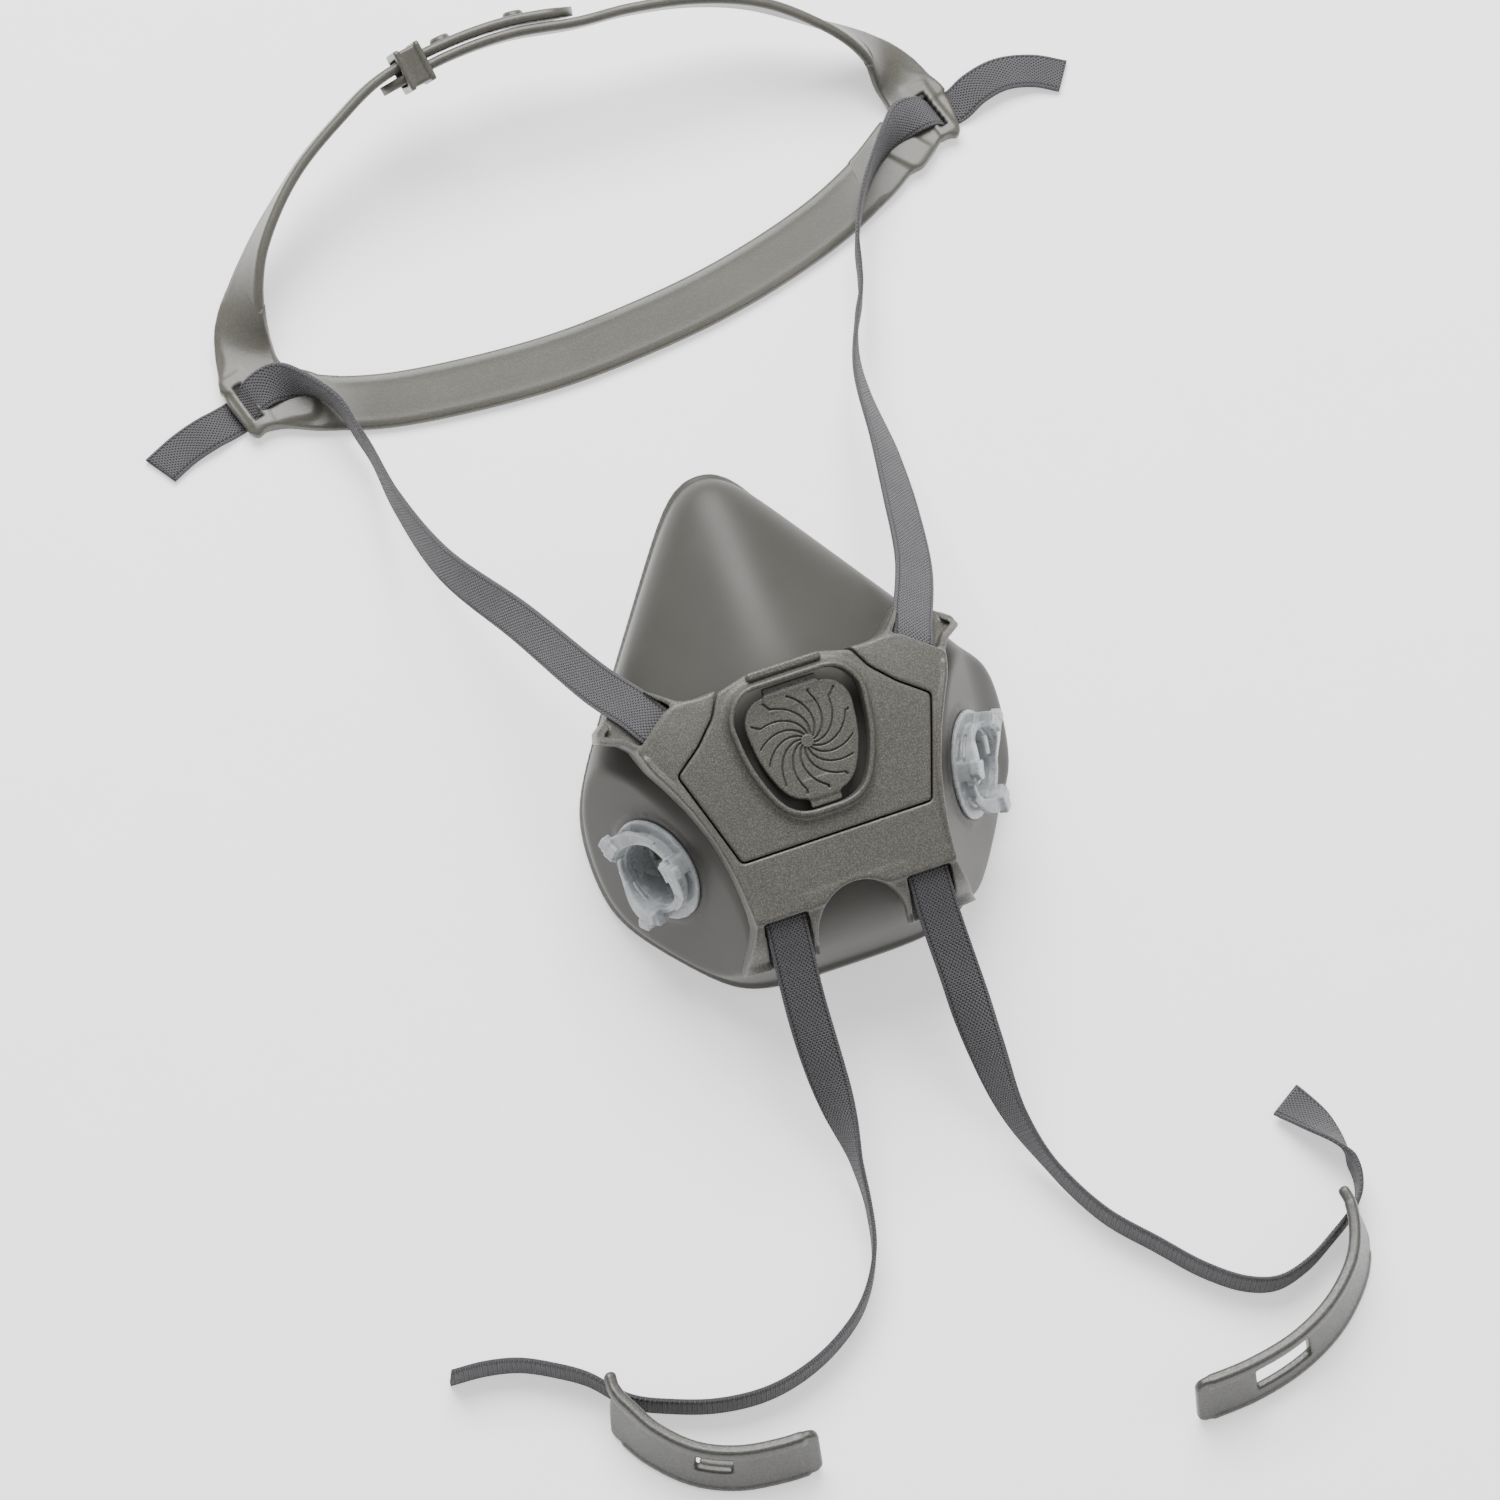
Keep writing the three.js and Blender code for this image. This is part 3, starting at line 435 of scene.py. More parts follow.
def lower_ear(q, under, deck):
    """A strap channel below the deck, open toward the chin, between solid cheeks."""
    along, across = along_across(q, *LOWER_MOUTH)
    edge = polygon(q, EAR_LOW)
    plate = smax(edge, under - 1.3, 0.7)
    share = np.clip((along + 1) / 10, 0, 1)
    top = deck * (1 - share) + (under - 3.4) * share
    wall = smax(edge, smax(CHANNEL_HALF - np.abs(across), top, 0.5), 0.6)
    return smin(plate, wall, 0.7)


def yoke(p):
    q = fold(p)
    under = saddle(p)
    deck_level = deck_top(p)
    edge = polygon(p, DECK_LINE)
    deck = smax(smax(edge, deck_level, 0.8), GAP - under, 0.5)
    # A fine raised bead follows the outer edge of the deck.
    ridge = np.hypot(edge + 0.7, deck_level + 0.1) - 0.7
    ridge = smax(ridge, np.maximum(24 - q[..., 0], q[..., 1] - 8.5), 1.5)
    deck = smin(deck, np.maximum(ridge, 0.4 - under), 0.4)
    upper = upper_ear(q, deck_level + 0.6)
    lower = lower_ear(q, under, deck_level + 0.2)
    ears = smax(np.minimum(upper, lower), GAP - under, 0.4)
    body = smin(deck, ears, 1.0)
    arch = ARCH_RADIUS - np.hypot(q[..., 0], np.maximum(q[..., 1] - ARCH_TOP, 0))
    body = smax(body, arch, 0.8)
    body = smax(body, GAP - polygon(p, PANEL), 0.4)
    top = np.maximum(q[..., 0] - 16.6, 14 - q[..., 1])
    body = smax(body, -top, 0.5)
    for mouth, deep, low, high in MOUTHS:
        hole = np.stack([*along_across(q, *mouth), q[..., 2] - (low + high) / 2], -1)
        body = smax(body, -block(hole, (0, 0, 0), (deep / 2, MOUTH_HALF, (high - low) / 2), 0.4), 0.4)
    return body


def valve_panel(p):
    edge = polygon(p, PANEL)
    line = polygon(p, COLLAR)
    z = p[..., 2]
    deck = smax(smax(edge, deck_top(p), 0.7), -0.5 - z, 0.4)
    # A ridge runs along the top edge between the shoulders.
    tab = block(p, (0, 18.3, 2.2), (9.0, 0.8, 1.0), 0.5)
    deck = smin(deck, tab, 0.5)
    wall = smax(np.abs(line) - COLLAR_EDGE, np.abs(z - 2.5) - 2.1, 0.5)
    body = smin(deck, wall, 2.4)
    return smax(body, -(line + COLLAR_EDGE), 0.3)


GROOVES, GROOVE_HALF, GROOVE_FLOOR, GROOVE_TWIST = 14, 0.24, 1.75, 1.25
TABS = (6.5, 1), (3.75, -1)  # half width, and toward the nose or the chin


def valve_cover(p):
    """The plate in the collar, with its two tabs and a plain ring of curved grooves."""
    x, y, z = p[..., 0], p[..., 1], p[..., 2]
    line = polygon(p, COVER)
    room = polygon(p, COLLAR) + COLLAR_EDGE + GAP
    plate = smax(line, np.abs(z - 1.25) - 1.05, 0.6)
    for half, way in TABS:
        tab = np.maximum(np.abs(x) - half, np.maximum(9 - way * y, np.abs(z - 1.2) - 0.95))
        plate = smin(plate, smax(tab, room, 0.5), 0.8)
    r = np.hypot(x, y)
    share = np.clip((r / 12 - 0.15) / 0.8, 0, 1)
    off = sector(np.arctan2(y, x) - GROOVE_TWIST * share ** 0.8, GROOVES)
    groove = np.maximum(np.abs(off) * r - GROOVE_HALF, np.maximum(GROOVE_FLOOR - z, 1.5 - r))
    return smax(plate, -np.maximum(groove, line + 1.3), 0.15)


def valve_seat(p):
    """A ring with a ledge, six bars and a hub, in the valve's bore."""
    r, a, z = polar(p)
    wall = smax(np.abs(r - 10.4) - 0.7, np.abs(z + 3.4) - 1.8, 0.5)
    ledge = smax(np.abs(r - 9.6) - 0.8, np.abs(z + 4.6) - 0.5, 0.3)
    bar = np.abs(np.sin(sector(a, 6))) * r - 0.6
    bars = smax(np.maximum(bar, r - 10.2), np.abs(z + 4.5) - 0.65, 0.4)
    hub = smax(r - 2.0, np.abs(z + 4.4) - 0.75, 0.4)
    return smin(smin(wall, ledge, 0.5), smin(bars, hub, 0.6), 0.5)


def flap(radius, low, high):
    """A thin rubber disc with a beaded rim and a centre button."""
    mid, half = (low + high) / 2, (high - low) / 2

    def field(p):
        r, _, z = polar(p)
        z = z - mid
        disc = smax(r - radius, np.abs(z) - half * 0.6, 0.3)
        rim = np.hypot(r - radius + half, z) - half
        button = smax(r - 1.6, np.abs(z) - half, 0.2)
        rings = np.hypot(r - radius * 0.62, z - half * 0.5) - half * 0.35
        return smin(smin(disc, rim, 0.3), smin(button, rings, 0.2), 0.3)
    return field


# ---- side ports, port frame ----
LUGS = 3


def port(turned):
    """A bayonet ring: sleeve, flange and wall, and arms that climb to their lugs."""
    def field(p):
        r, a, z = polar(p)
        sleeve = smax(np.abs(r - 8.7) - 0.5, np.abs(z + 1.2) - 4.3, 0.4)
        flange = smax(np.abs(r - 10.9) - 2.25, np.abs(z - 1.0) - 0.6, 0.6)
        wall = smax(np.abs(r - 9.3) - 0.65, np.abs(z - 2.3) - 2.1, 0.4)
        off = sector(a + turned, LUGS, 1.55)
        # The arm climbs and widens toward its lug, with a slot under it.
        climb = ease(np.clip((off + 1.25) / 1.1, 0, 1))
        top = 4.0 + 2.3 * climb
        inner, outer = 8.5 + 0.2 * climb, 10.6 + 1.9 * climb
        arm = smax(smax(inner - r, r - outer, 0.2), smax(z - top, 3.1 + 0.6 * climb - z, 0.2), 0.4)
        arm = np.maximum(arm, np.maximum(-1.32 - off, off - 0.3) * r * 0.9)
        post = smax(np.abs(off - 0.02) * r - 2.3, smax(9.0 - r, r - 12.7, 0.4), 0.5)
        post = smax(post, smax(z - 7.3, 0.8 - z, 0.3), 0.45)
        hook = smax(np.abs(off + 0.05) * r - 1.7, smax(11.5 - r, r - 13.8, 0.4), 0.5)
        hook = smax(hook, smax(z - 7.5, 5.1 - z, 0.2), 0.4)
        notch = smax(np.abs(off - 0.2) * r - 0.7, np.maximum(11.8 - r, 5.9 - z), 0.3)
        slot = np.maximum(np.abs(off + 0.62) * r - 3.0, np.abs(z - 2.5 - 0.5 * climb) - 0.55)
        slot = np.maximum(slot, 7.0 - r)
        body = smin(smin(sleeve, flange, 0.6), wall, 0.5)
        body = smax(body, -slot, 0.25)
        body = smin(body, smin(arm, smin(post, hook, 0.3), 0.4), 0.4)
        return smax(body, -notch, 0.3)
    return field


def inhale_seat(p):
    """A ring with a cross of bars and a hub, in a port's sleeve."""
    r, _, z = polar(p)
    high = np.abs(z + 4.85)
    wall = smax(np.abs(r - 7.35) - 0.5, high - 0.6, 0.3)
    bar = np.minimum(np.abs(p[..., 0]), np.abs(p[..., 1])) - 0.55
    bars = smax(np.maximum(bar, r - 7.4), high - 0.5, 0.4)
    hub = smax(r - 1.8, high - 0.62, 0.3)
    return smin(smin(wall, bars, 0.6), hub, 0.6)


# ---- ribbons, floor frame ----
def spline(points, count):
    """Centripetal Catmull-Rom through points, at even steps of its parameter."""
    pts = np.array(points, float)
    full = np.vstack([2 * pts[0] - pts[1], pts, 2 * pts[-1] - pts[-2]])
    t = np.linspace(0, len(pts) - 1, count)
    i = np.minimum(t.astype(int), len(pts) - 2)
    w = (t - i)[:, None]
    a, b, c, d = full[i], full[i + 1], full[i + 2], full[i + 3]

    def gap(u, v):
        return np.maximum(np.sqrt(np.linalg.norm(v - u, axis=1)), 1e-4)[:, None]
    d0, d1, d2 = gap(a, b), gap(b, c), gap(c, d)
    s = ((b - a) / d0 - (c - a) / (d0 + d1) + (c - b) / d1) * d1
    e = ((c - b) / d1 - (d - b) / (d1 + d2) + (d - c) / d2) * d1
    return b + s * w + (-3 * b + 3 * c - 2 * s - e) * w ** 2 + (2 * b - 2 * c + s + e) * w ** 3


class Route:
    """A ribbon's middle line with the direction across it, at even lengths, up to a reach."""

    def __init__(self, stops, step, reach=None):
        fine = 40 * len(stops)
        mid, wide = spline([s[0] for s in stops], fine), spline([s[1] for s in stops], fine)
        run = np.concatenate([[0], np.cumsum(np.linalg.norm(np.diff(mid, axis=0), axis=1))])
        self.length = run[-1]
        self.s = np.linspace(0, self.length, max(4, int(self.length / step)))
        self.mid = np.stack([np.interp(self.s, run, mid[:, k]) for k in range(3)], -1)
        self.way = np.gradient(self.mid, self.s, axis=0)
        self.way /= np.linalg.norm(self.way, axis=1)[:, None]
        wide = np.stack([np.interp(self.s, run, wide[:, k]) for k in range(3)], -1)
        wide -= self.way * (wide * self.way).sum(1)[:, None]
        self.wide = wide / np.linalg.norm(wide, axis=1)[:, None]
        self.flat = np.cross(self.way, self.wide)
        if reach:
            keep = self.s <= reach
            self.s, self.mid, self.way = self.s[keep], self.mid[keep], self.way[keep]
            self.wide, self.flat, self.length = self.wide[keep], self.flat[keep], self.s[-1]

    def local(self, p):
        """Along, across and out of the ribbon, for points near it."""
        q = p.reshape(-1, 3)
        best = np.full(len(q), 1e9)
        near = np.zeros(len(q), int)
        for k, m in enumerate(self.mid):
            d = ((q - m) ** 2).sum(1)
            take = d < best
            best[take] = d[take]
            near[take] = k
        s = self.s[near] + ((q - self.mid[near]) * self.way[near]).sum(1)
        inside = np.clip(s, 0, self.length)

        def at(values):
            return np.stack([np.interp(inside, self.s, values[:, k]) for k in range(3)], -1)
        off = q - at(self.mid)
        u, v = (off * at(self.wide)).sum(1), (off * at(self.flat)).sum(1)
        return np.stack([s, u, v], -1).reshape(p.shape)


def ribbon(name, stops, width, thick, step, edge=0.35, tips=(0, 0), shape=None, cut=0.0):
    """A flat strip with rounded edges. tips rounds its ends, shape changes its section, and cut
    slants its last end."""
    route = Route(stops, step)
    half, deep = width / 2, thick / 2
    flats = np.linspace(-1, 1, 9) * (half - edge)
    ends = np.linspace(-math.pi / 2, math.pi / 2, 5)
    right = [(half - edge + edge * math.cos(a), edge * math.sin(a) * deep / edge) for a in ends]
    ring = [(u, -deep) for u in flats[:-1]] + right
    ring += [(u, deep) for u in flats[::-1][1:-1]] + [(-u, -v) for u, v in right[:-1]]
    ring = np.array(ring)
    points, uv = [], []
    for i, s in enumerate(route.s):
        k = 1.0
        for at, radius in ((s, tips[0]), (route.length - s, tips[1])):
            if radius and at < radius:
                k = min(k, math.sqrt(max(0.02, 1 - (1 - at / radius) ** 2)))
        u, v = ring[:, 0] * k, ring[:, 1]
        if shape:
            u, v = shape(s, route.length, u, v)
        slant = cut * u if s == route.s[-1] else 0 * u
        points.append(route.mid[i] + np.outer(u, route.wide[i]) + np.outer(v, route.flat[i])
                      + np.outer(slant, route.way[i]))
        uv.append(np.stack([ring[:, 0] / width, np.full(len(ring), s / 10) + (ring[:, 1] > 0) * 50], -1))
    n, rows = len(ring), len(points)
    faces = [(i * n + j, i * n + (j + 1) % n, (i + 1) * n + (j + 1) % n, (i + 1) * n + j)
             for i in range(rows - 1) for j in range(n)]
    flat = np.concatenate(points)
    coords = np.concatenate(uv)
    for row, turn in ((0, 1), (rows - 1, -1)):
        faces.append(tuple(range(row * n, row * n + n))[::-turn])
    return make(name, to_row(flat), faces, uv=coords), route


# ---- materials ----
class Look:
    """A principled material built from procedural nodes, in object or uv coordinates."""

    def __init__(self, name, rough, **sockets):
        self.mat = bpy.data.materials.new(name)
        self.mat.use_nodes = True
        self.tree = self.mat.node_tree
        self.out = self.tree.nodes["Principled BSDF"]
        self.out.inputs["Roughness"].default_value = rough
        for key, value in sockets.items():
            self.out.inputs[key.replace("_", " ")].default_value = value
        self.coord = self.tree.nodes.new("ShaderNodeTexCoord")

    def node(self, kind, inputs, **props):
        n = self.tree.nodes.new("ShaderNode" + kind)
        for key, value in props.items():
            setattr(n, key, value)
        for key, value in inputs.items():
            if isinstance(value, bpy.types.NodeSocket):
                self.tree.links.new(value, n.inputs[key])
            else:
                n.inputs[key].default_value = value
        return n

    def math(self, operation, a, b=0.0, c=0.0):
        return self.node("Math", {0: a, 1: b, 2: c}, operation=operation).outputs[0]

    def noise(self, scale, detail, stretch=None, rough=0.5):
        vector = self.coord.outputs["Object"]
        if stretch:
            vector = self.node("Mapping", {"Vector": vector, "Scale": stretch}).outputs[0]
        return self.node("TexNoise", {"Vector": vector, "Scale": scale, "Detail": detail,
                                      "Roughness": rough}).outputs[0]

    def ramp(self, value, low, high):
        return self.node("MapRange", {0: value, 1: low, 2: high}).outputs[0]

    def mix(self, share, a, b):
        return self.node("Mix", {0: share, 6: a, 7: b}, data_type="RGBA").outputs[2]

    def times(self, a, b):
        return self.math("MULTIPLY", a, b)

    def scaled(self, a, factor, added):
        return self.math("MULTIPLY_ADD", a, factor, added)

    def set(self, key, value):
        self.tree.links.new(value, self.out.inputs[key])

    def bump(self, height, distance, strength):
        n = self.node("Bump", {"Height": height, "Distance": distance, "Strength": strength})
        self.set("Normal", n.outputs[0])


def rgb(r, g, b):
    return (r, g, b, 1.0)


def rubber():
    look = Look("facepiece_rubber", 0.5, Specular_IOR_Level=0.38, Sheen_Weight=0.08)
    cloud = look.ramp(look.noise(28, 3), 0.35, 0.68)
    grain = look.noise(1500, 2)
    dust = look.ramp(look.noise(420, 4, rough=0.7), 0.66, 0.78)
    base = look.mix(cloud, rgb(0.047, 0.0446, 0.0387), rgb(0.059, 0.0561, 0.0495))
    look.set("Base Color", look.mix(look.times(dust, 0.35), base, rgb(0.085, 0.082, 0.074)))
    look.set("Roughness", look.scaled(cloud, 0.1, 0.46))
    look.bump(grain, 0.00004, 0.35)
    return look.mat


def speckled(name, dark, light, rough, grain, **sockets):
    """Moulded plastic with a fine sparkle-eroded texture."""
    look = Look(name, rough, **sockets)
    fine = look.noise(grain, 3, rough=0.65)
    spots = look.ramp(fine, 0.44, 0.66)
    cloud = look.ramp(look.noise(36, 3), 0.3, 0.7)
    base = look.mix(spots, dark, light)
    look.set("Base Color", look.mix(look.times(cloud, 0.22), base, dark))
    look.set("Roughness", look.scaled(spots, -0.12, rough + 0.04))
    look.bump(fine, 0.00012, 0.45)
    return look.mat


def cradle_plastic():
    look = Look("cradle_plastic", 0.4, Specular_IOR_Level=0.45, Subsurface_Weight=0.12,
                Subsurface_Scale=0.0015, Subsurface_Radius=(1, 1, 1))
    fine = look.noise(1900, 3, rough=0.65)
    spots = look.ramp(fine, 0.48, 0.7)
    cloud = look.ramp(look.noise(22, 4, (1.0, 2.2, 1.0)), 0.32, 0.7)
    base = look.mix(cloud, rgb(0.066, 0.064, 0.053), rgb(0.092, 0.089, 0.075))
    look.set("Base Color", look.mix(look.times(spots, 0.5), base, rgb(0.125, 0.122, 0.104)))
    scuff = look.ramp(look.noise(90, 5, (0.25, 3.0, 1.0), 0.7), 0.6, 0.75)
    look.set("Roughness", look.scaled(scuff, 0.2, 0.36))
    look.bump(fine, 0.00008, 0.35)
    return look.mat


def milky():
    look = Look("port_plastic", 0.24, IOR=1.46, Transmission_Weight=0.25, Subsurface_Weight=0.3,
                Subsurface_Scale=0.002, Subsurface_Radius=(1, 1, 1))
    cloud = look.ramp(look.noise(260, 4), 0.3, 0.72)
    look.set("Base Color", look.mix(cloud, rgb(0.36, 0.385, 0.405), rgb(0.53, 0.55, 0.565)))
    look.set("Roughness", look.scaled(cloud, 0.16, 0.2))
    look.bump(look.noise(700, 2), 0.00005, 0.3)
    return look.mat


def flap_rubber():
    look = Look("valve_rubber", 0.42, Subsurface_Weight=0.3, Subsurface_Scale=0.002,
                Subsurface_Radius=(1, 1, 1))
    cloud = look.ramp(look.noise(300, 3), 0.3, 0.7)
    look.set("Base Color", look.mix(cloud, rgb(0.36, 0.33, 0.25), rgb(0.46, 0.43, 0.34)))
    look.bump(look.noise(900, 2), 0.00004, 0.3)
    return look.mat


def webbing():
    """Woven elastic: u runs across in widths, v along in centimetres."""
    thread_across, thread_along, rib = 0.92, 1.15, 0.6  # spacings in millimetres
    look = Look("webbing", 0.82, Specular_IOR_Level=0.25, Sheen_Weight=0.15)
    split = look.node("SeparateXYZ", {0: look.coord.outputs["UV"]})
    across = look.times(split.outputs[0], 10.0)
    along = look.times(split.outputs[1], 10.0)
    wobble = look.scaled(look.noise(500, 2), 0.5, -0.25)
    u = look.scaled(across, 2 * math.pi / thread_across, wobble)
    v = look.scaled(along, 2 * math.pi / thread_along, wobble)
    lattice = look.times(look.math("COSINE", u), look.math("COSINE", v))
    twill = look.math("SINE", look.math("ADD", look.times(u, 2.0), v))
    weave = look.scaled(twill, 0.3, lattice)
    # Painted shade: the weave's holes are painted near-black and sunk in the bump.
    hole = look.ramp(lattice, 0.12, 0.62)
    edge = look.math("ABSOLUTE", across)
    selvage = look.ramp(edge, 4.15, 4.3)
    line = look.times(look.ramp(edge, 3.85, 4.0),
                     look.math("SUBTRACT", 1.0, look.ramp(edge, 4.2, 4.35)))
    stitch = look.ramp(look.math("SINE", look.times(along, 2 * math.pi / thread_along)), -0.5, 0.2)
    dots = look.times(line, look.scaled(stitch, 0.6, 0.4))
    inner = look.times(hole, look.math("SUBTRACT", 1.0, selvage))
    dark = look.math("MAXIMUM", inner, dots)
    ribs = look.math("SINE", look.times(along, 2 * math.pi / rib))
    strands = look.scaled(weave, 0.26, 0.5)
    cloth = look.mix(strands, rgb(0.050, 0.049, 0.053), rgb(0.145, 0.142, 0.149))
    border = look.mix(look.ramp(ribs, -0.6, 0.9), rgb(0.052, 0.051, 0.056), rgb(0.105, 0.103, 0.109))
    # The near-black is painted shade in the weave's holes; the stitch dots along each side, where the
    # border starts, take the same colour.
    look.set("Base Color", look.mix(dark, look.mix(selvage, cloth, border), rgb(0.009, 0.0085, 0.011)))
    height = look.math("SUBTRACT", look.scaled(ribs, 0.25, look.times(weave, -0.5)),
                       look.times(dark, 0.9))
    look.bump(height, 0.00022, 0.8)
    return look.mat


LOOKS = {
    "facepiece_rubber": rubber(),
    "yoke_plastic": speckled("yoke_plastic", rgb(0.050, 0.0475, 0.040), rgb(0.140, 0.135, 0.119), 0.42,
                             grain=3000),
    "port_plastic": milky(),
    "valve_rubber": flap_rubber(),
    "cradle_plastic": cradle_plastic(),
    "webbing": webbing(),
    "buckle_plastic": speckled("buckle_plastic", rgb(0.052, 0.051, 0.045), rgb(0.088, 0.086, 0.077), 0.34,
                               grain=1500, Specular_IOR_Level=0.5),
}


def place(obj, slot, body, *nodes):
    """Finish, body and the CAD nodes that the piece stands for."""
    obj.data.materials.append(LOOKS[slot])
    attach(obj, body)
    if nodes:
        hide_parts(*nodes)
    return obj


# ---- mask ----
place(moulded("facepiece_shell", facepiece, (-56, -58, -74), (58, 71, 2), 0.85, to_floor),
      "facepiece_rubber", "mask", "facepiece")
place(moulded("yoke_shell", yoke, (-44, -49, -32), (44, 26, 5), 0.45, to_floor),
      "yoke_plastic", "mask", "front_yoke")
place(moulded("panel_with_collar", valve_panel, (-30, -23, -1), (30, 19, 6), 0.35, to_floor),
      "yoke_plastic", "mask", "valve_panel")
place(moulded("fan_cover", valve_cover, (-16, -17, -0.6), (16, 17, 3), 0.22, to_floor),
      "yoke_plastic", "valve_cover", "exhale_valve_cover")
place(moulded("spoked_seat", valve_seat, (-12, -12, -6), (12, 12, -1), 0.35, to_floor),
      "port_plastic", "mask", "exhale_valve_seat")
place(moulded("exhale_membrane", flap(9.2, -3.4, -2.6), (-10, -10, -4), (10, 10, -2), 0.25, to_floor),
      "valve_rubber", "valve_disc", "exhale_valve_disc")

for side, name in ((-1, "right"), (1, "left")):
    def out_of_port(p, side=side):
        return to_floor(from_port(p, side))

    turned = math.pi if side > 0 else 0.0
    place(moulded(f"bayonet_{name}", port(turned), (-15, -15, -6), (15, 15, 8), 0.24, out_of_port),
          "port_plastic", "mask", f"port_{name}")
    place(moulded(f"inhale_spokes_{name}", inhale_seat, (-9, -9, -6), (9, 9, -4), 0.3, out_of_port),
          "port_plastic", "mask", f"inhale_seat_{name}")
    place(moulded(f"inhale_membrane_{name}", flap(8.8, -6.7, -5.85), (-10, -10, -8), (10, 10, -5), 0.25,
                  out_of_port),
          "valve_rubber", f"flap_{name}", f"inhale_flap_{name}")

# ---- straps, floor frame ----
WEB, WEB_THICK, WEB_STEP = 10.0, 1.1, 1.1
EDGE = (0, 0, 1)


def on_edge(x, y, z=5.3):
    """A stop where the webbing stands on its edge."""
    return (x, y, z), EDGE


def mouth_at(x, y, z):
    return tuple(to_floor(np.array([x, y, z], float)))


def up_mouth(side):
    """The first stops of the upper webbing, in the yoke's ear."""
    wide = (-side * 0.79, 0.57, 0.25)
    return [(mouth_at(side * 28.4, 9.4, -3.2), wide), (mouth_at(side * 31.7, 13.8, -3.8), wide),
            ((side * 34.5, 21, 61.5), wide)]


def low_mouth(side):
    """The first stops of the neck webbing, in its channel."""
    wide = (1, 0, 0)
    return [(mouth_at(side * 17.7, -37.0, -0.6), wide), (mouth_at(side * 17.7, -37.9, -0.6), wide),
            ((side * 18, -41.8, 38.4), wide)]


UPPER_RIGHT = up_mouth(-1) + [
    ((-40, 33, 55), (0.74, 0.5, 0.4)), ((-50, 62, 40), (0.6, 0.3, 0.7)), ((-61, 90, 26), (0.35, 0.1, 0.9)),
    ((-65.5, 116, 15), (0.1, 0, 1)), on_edge(-66.7, 134.4, 9.4), on_edge(-68, 140.4, 9.6),
    on_edge(-69.9, 148.6, 10.6), ((-76, 158, 10), (-0.3, 0.4, 0.8)), ((-83, 162, 8), (-0.35, 0.85, 0.3)),
    ((-88.4, 161.6, 5.9), (-0.25, 0.96, 0.1)), ((-91.0, 160.6, 3.2), (-0.25, 0.97, 0)),
    ((-93.6, 159.8, 1.3), (-0.25, 0.97, 0)), ((-98.5, 158.3, 1.5), (-0.3, 0.93, 0.02)),
    ((-103, 157, 2.2), (-0.3, 0.93, 0.02)), ((-110, 155, 1.6), (-0.35, 0.93, 0)),
    ((-117.5, 151.5, 1.1), (-0.45, 0.9, 0)),
]
UPPER_LEFT = up_mouth(1) + [
    ((42, 39, 51), (-0.78, 0.4, 0.4)), ((47, 60, 41), (-0.75, 0.3, 0.5)), ((51, 81, 31), (-0.6, 0.2, 0.7)),
    ((54.5, 106, 20), (-0.3, 0.1, 0.9)), on_edge(60, 124, 12.5), on_edge(65.2, 134.4, 9.7),
    on_edge(67.2, 140.4, 9.5), on_edge(70, 150, 10), on_edge(77, 163, 10.6),
    ((86, 174, 10.2), (0.3, 0.5, 0.8)), ((94, 180, 8.2), (0.3, 0.85, 0.3)),
    ((100.4, 181.8, 5.9), (-0.2, 0.97, 0.05)),
    ((103.2, 182.2, 3.2), (-0.25, 0.96, 0)), ((105.8, 182.4, 1.3), (-0.2, 0.97, 0)),
    ((110.2, 182.9, 1.7), (-0.1, 0.99, 0.05)), ((116, 185, 3.6), (-0.2, 0.97, 0)),
    ((124, 186.6, 3.8), (0, 1, 0)), ((133, 185.4, 2.4), (0.2, 0.97, 0)), ((140, 182, 1.1), (0.3, 0.95, 0)),
]
LOWER_RIGHT = low_mouth(-1) + [
    ((-18.4, -50, 31.5), (0.97, 0.1, 0.1)), ((-18.4, -60, 24), (0.8, 0.3, 0.5)),
    ((-18, -72, 16), (0.5, 0.3, 0.8)), ((-17.8, -84, 9.8), (0.1, 0.2, 1)), on_edge(-18.6, -95, 6.6),
    on_edge(-21.5, -106, 5.6), on_edge(-28, -116), on_edge(-37, -122.8), on_edge(-47, -127),
    on_edge(-57, -128.6), on_edge(-68, -127.4), on_edge(-78, -124), on_edge(-86.6, -119.6),
    on_edge(-94.2, -111.2), on_edge(-100, -107), on_edge(-108, -102.6), on_edge(-116, -100.6),
    on_edge(-124, -100),
]
LOWER_LEFT = low_mouth(1) + [
    ((18.8, -54, 29), (0.97, 0, 0)), ((19.4, -70, 20), (0.8, -0.2, 0.5)), ((21, -86, 12), (0.4, -0.2, 0.9)),
    on_edge(26, -101, 7), on_edge(33, -115, 5.6), on_edge(42, -126), on_edge(50, -135.5), on_edge(58, -142),
    on_edge(65, -144.3), on_edge(73, -142.6), on_edge(80.5, -138.8), on_edge(90, -132.5),
    on_edge(92.6, -127.4), on_edge(93, -123), ((92, -117.6, 5.4), (-0.4, -0.1, 0.9)),
    ((89, -110, 4.4), (-0.8, -0.3, 0.5)), ((84.8, -102, 2), (-0.93, -0.37, 0.05)),
]
BEND_START, BEND_END = (0, 126, 9.3), (0, 148, 9.3)
for name, stops in (("right", UPPER_RIGHT), ("left", UPPER_LEFT)):
    strap, _ = ribbon(f"head_webbing_{name}", stops, WEB, WEB_THICK, WEB_STEP, cut=0.12)
    strap.data.materials.append(LOOKS["webbing"])
    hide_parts(f"upper_strap_{name}", f"upper_strap_end_{name}", f"upper_tail_{name}")
    tuple(to_row(BEND_START))
    tuple(to_row(BEND_END))
    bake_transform(strap)
for name, stops in (("right", LOWER_RIGHT), ("left", LOWER_LEFT)):
    strap, _ = ribbon(f"neck_webbing_{name}", stops, WEB, WEB_THICK, WEB_STEP, cut=-0.1)
    place(strap, "webbing", f"neck_strap_{name}", f"lower_strap_{name}", f"lower_tail_{name}")

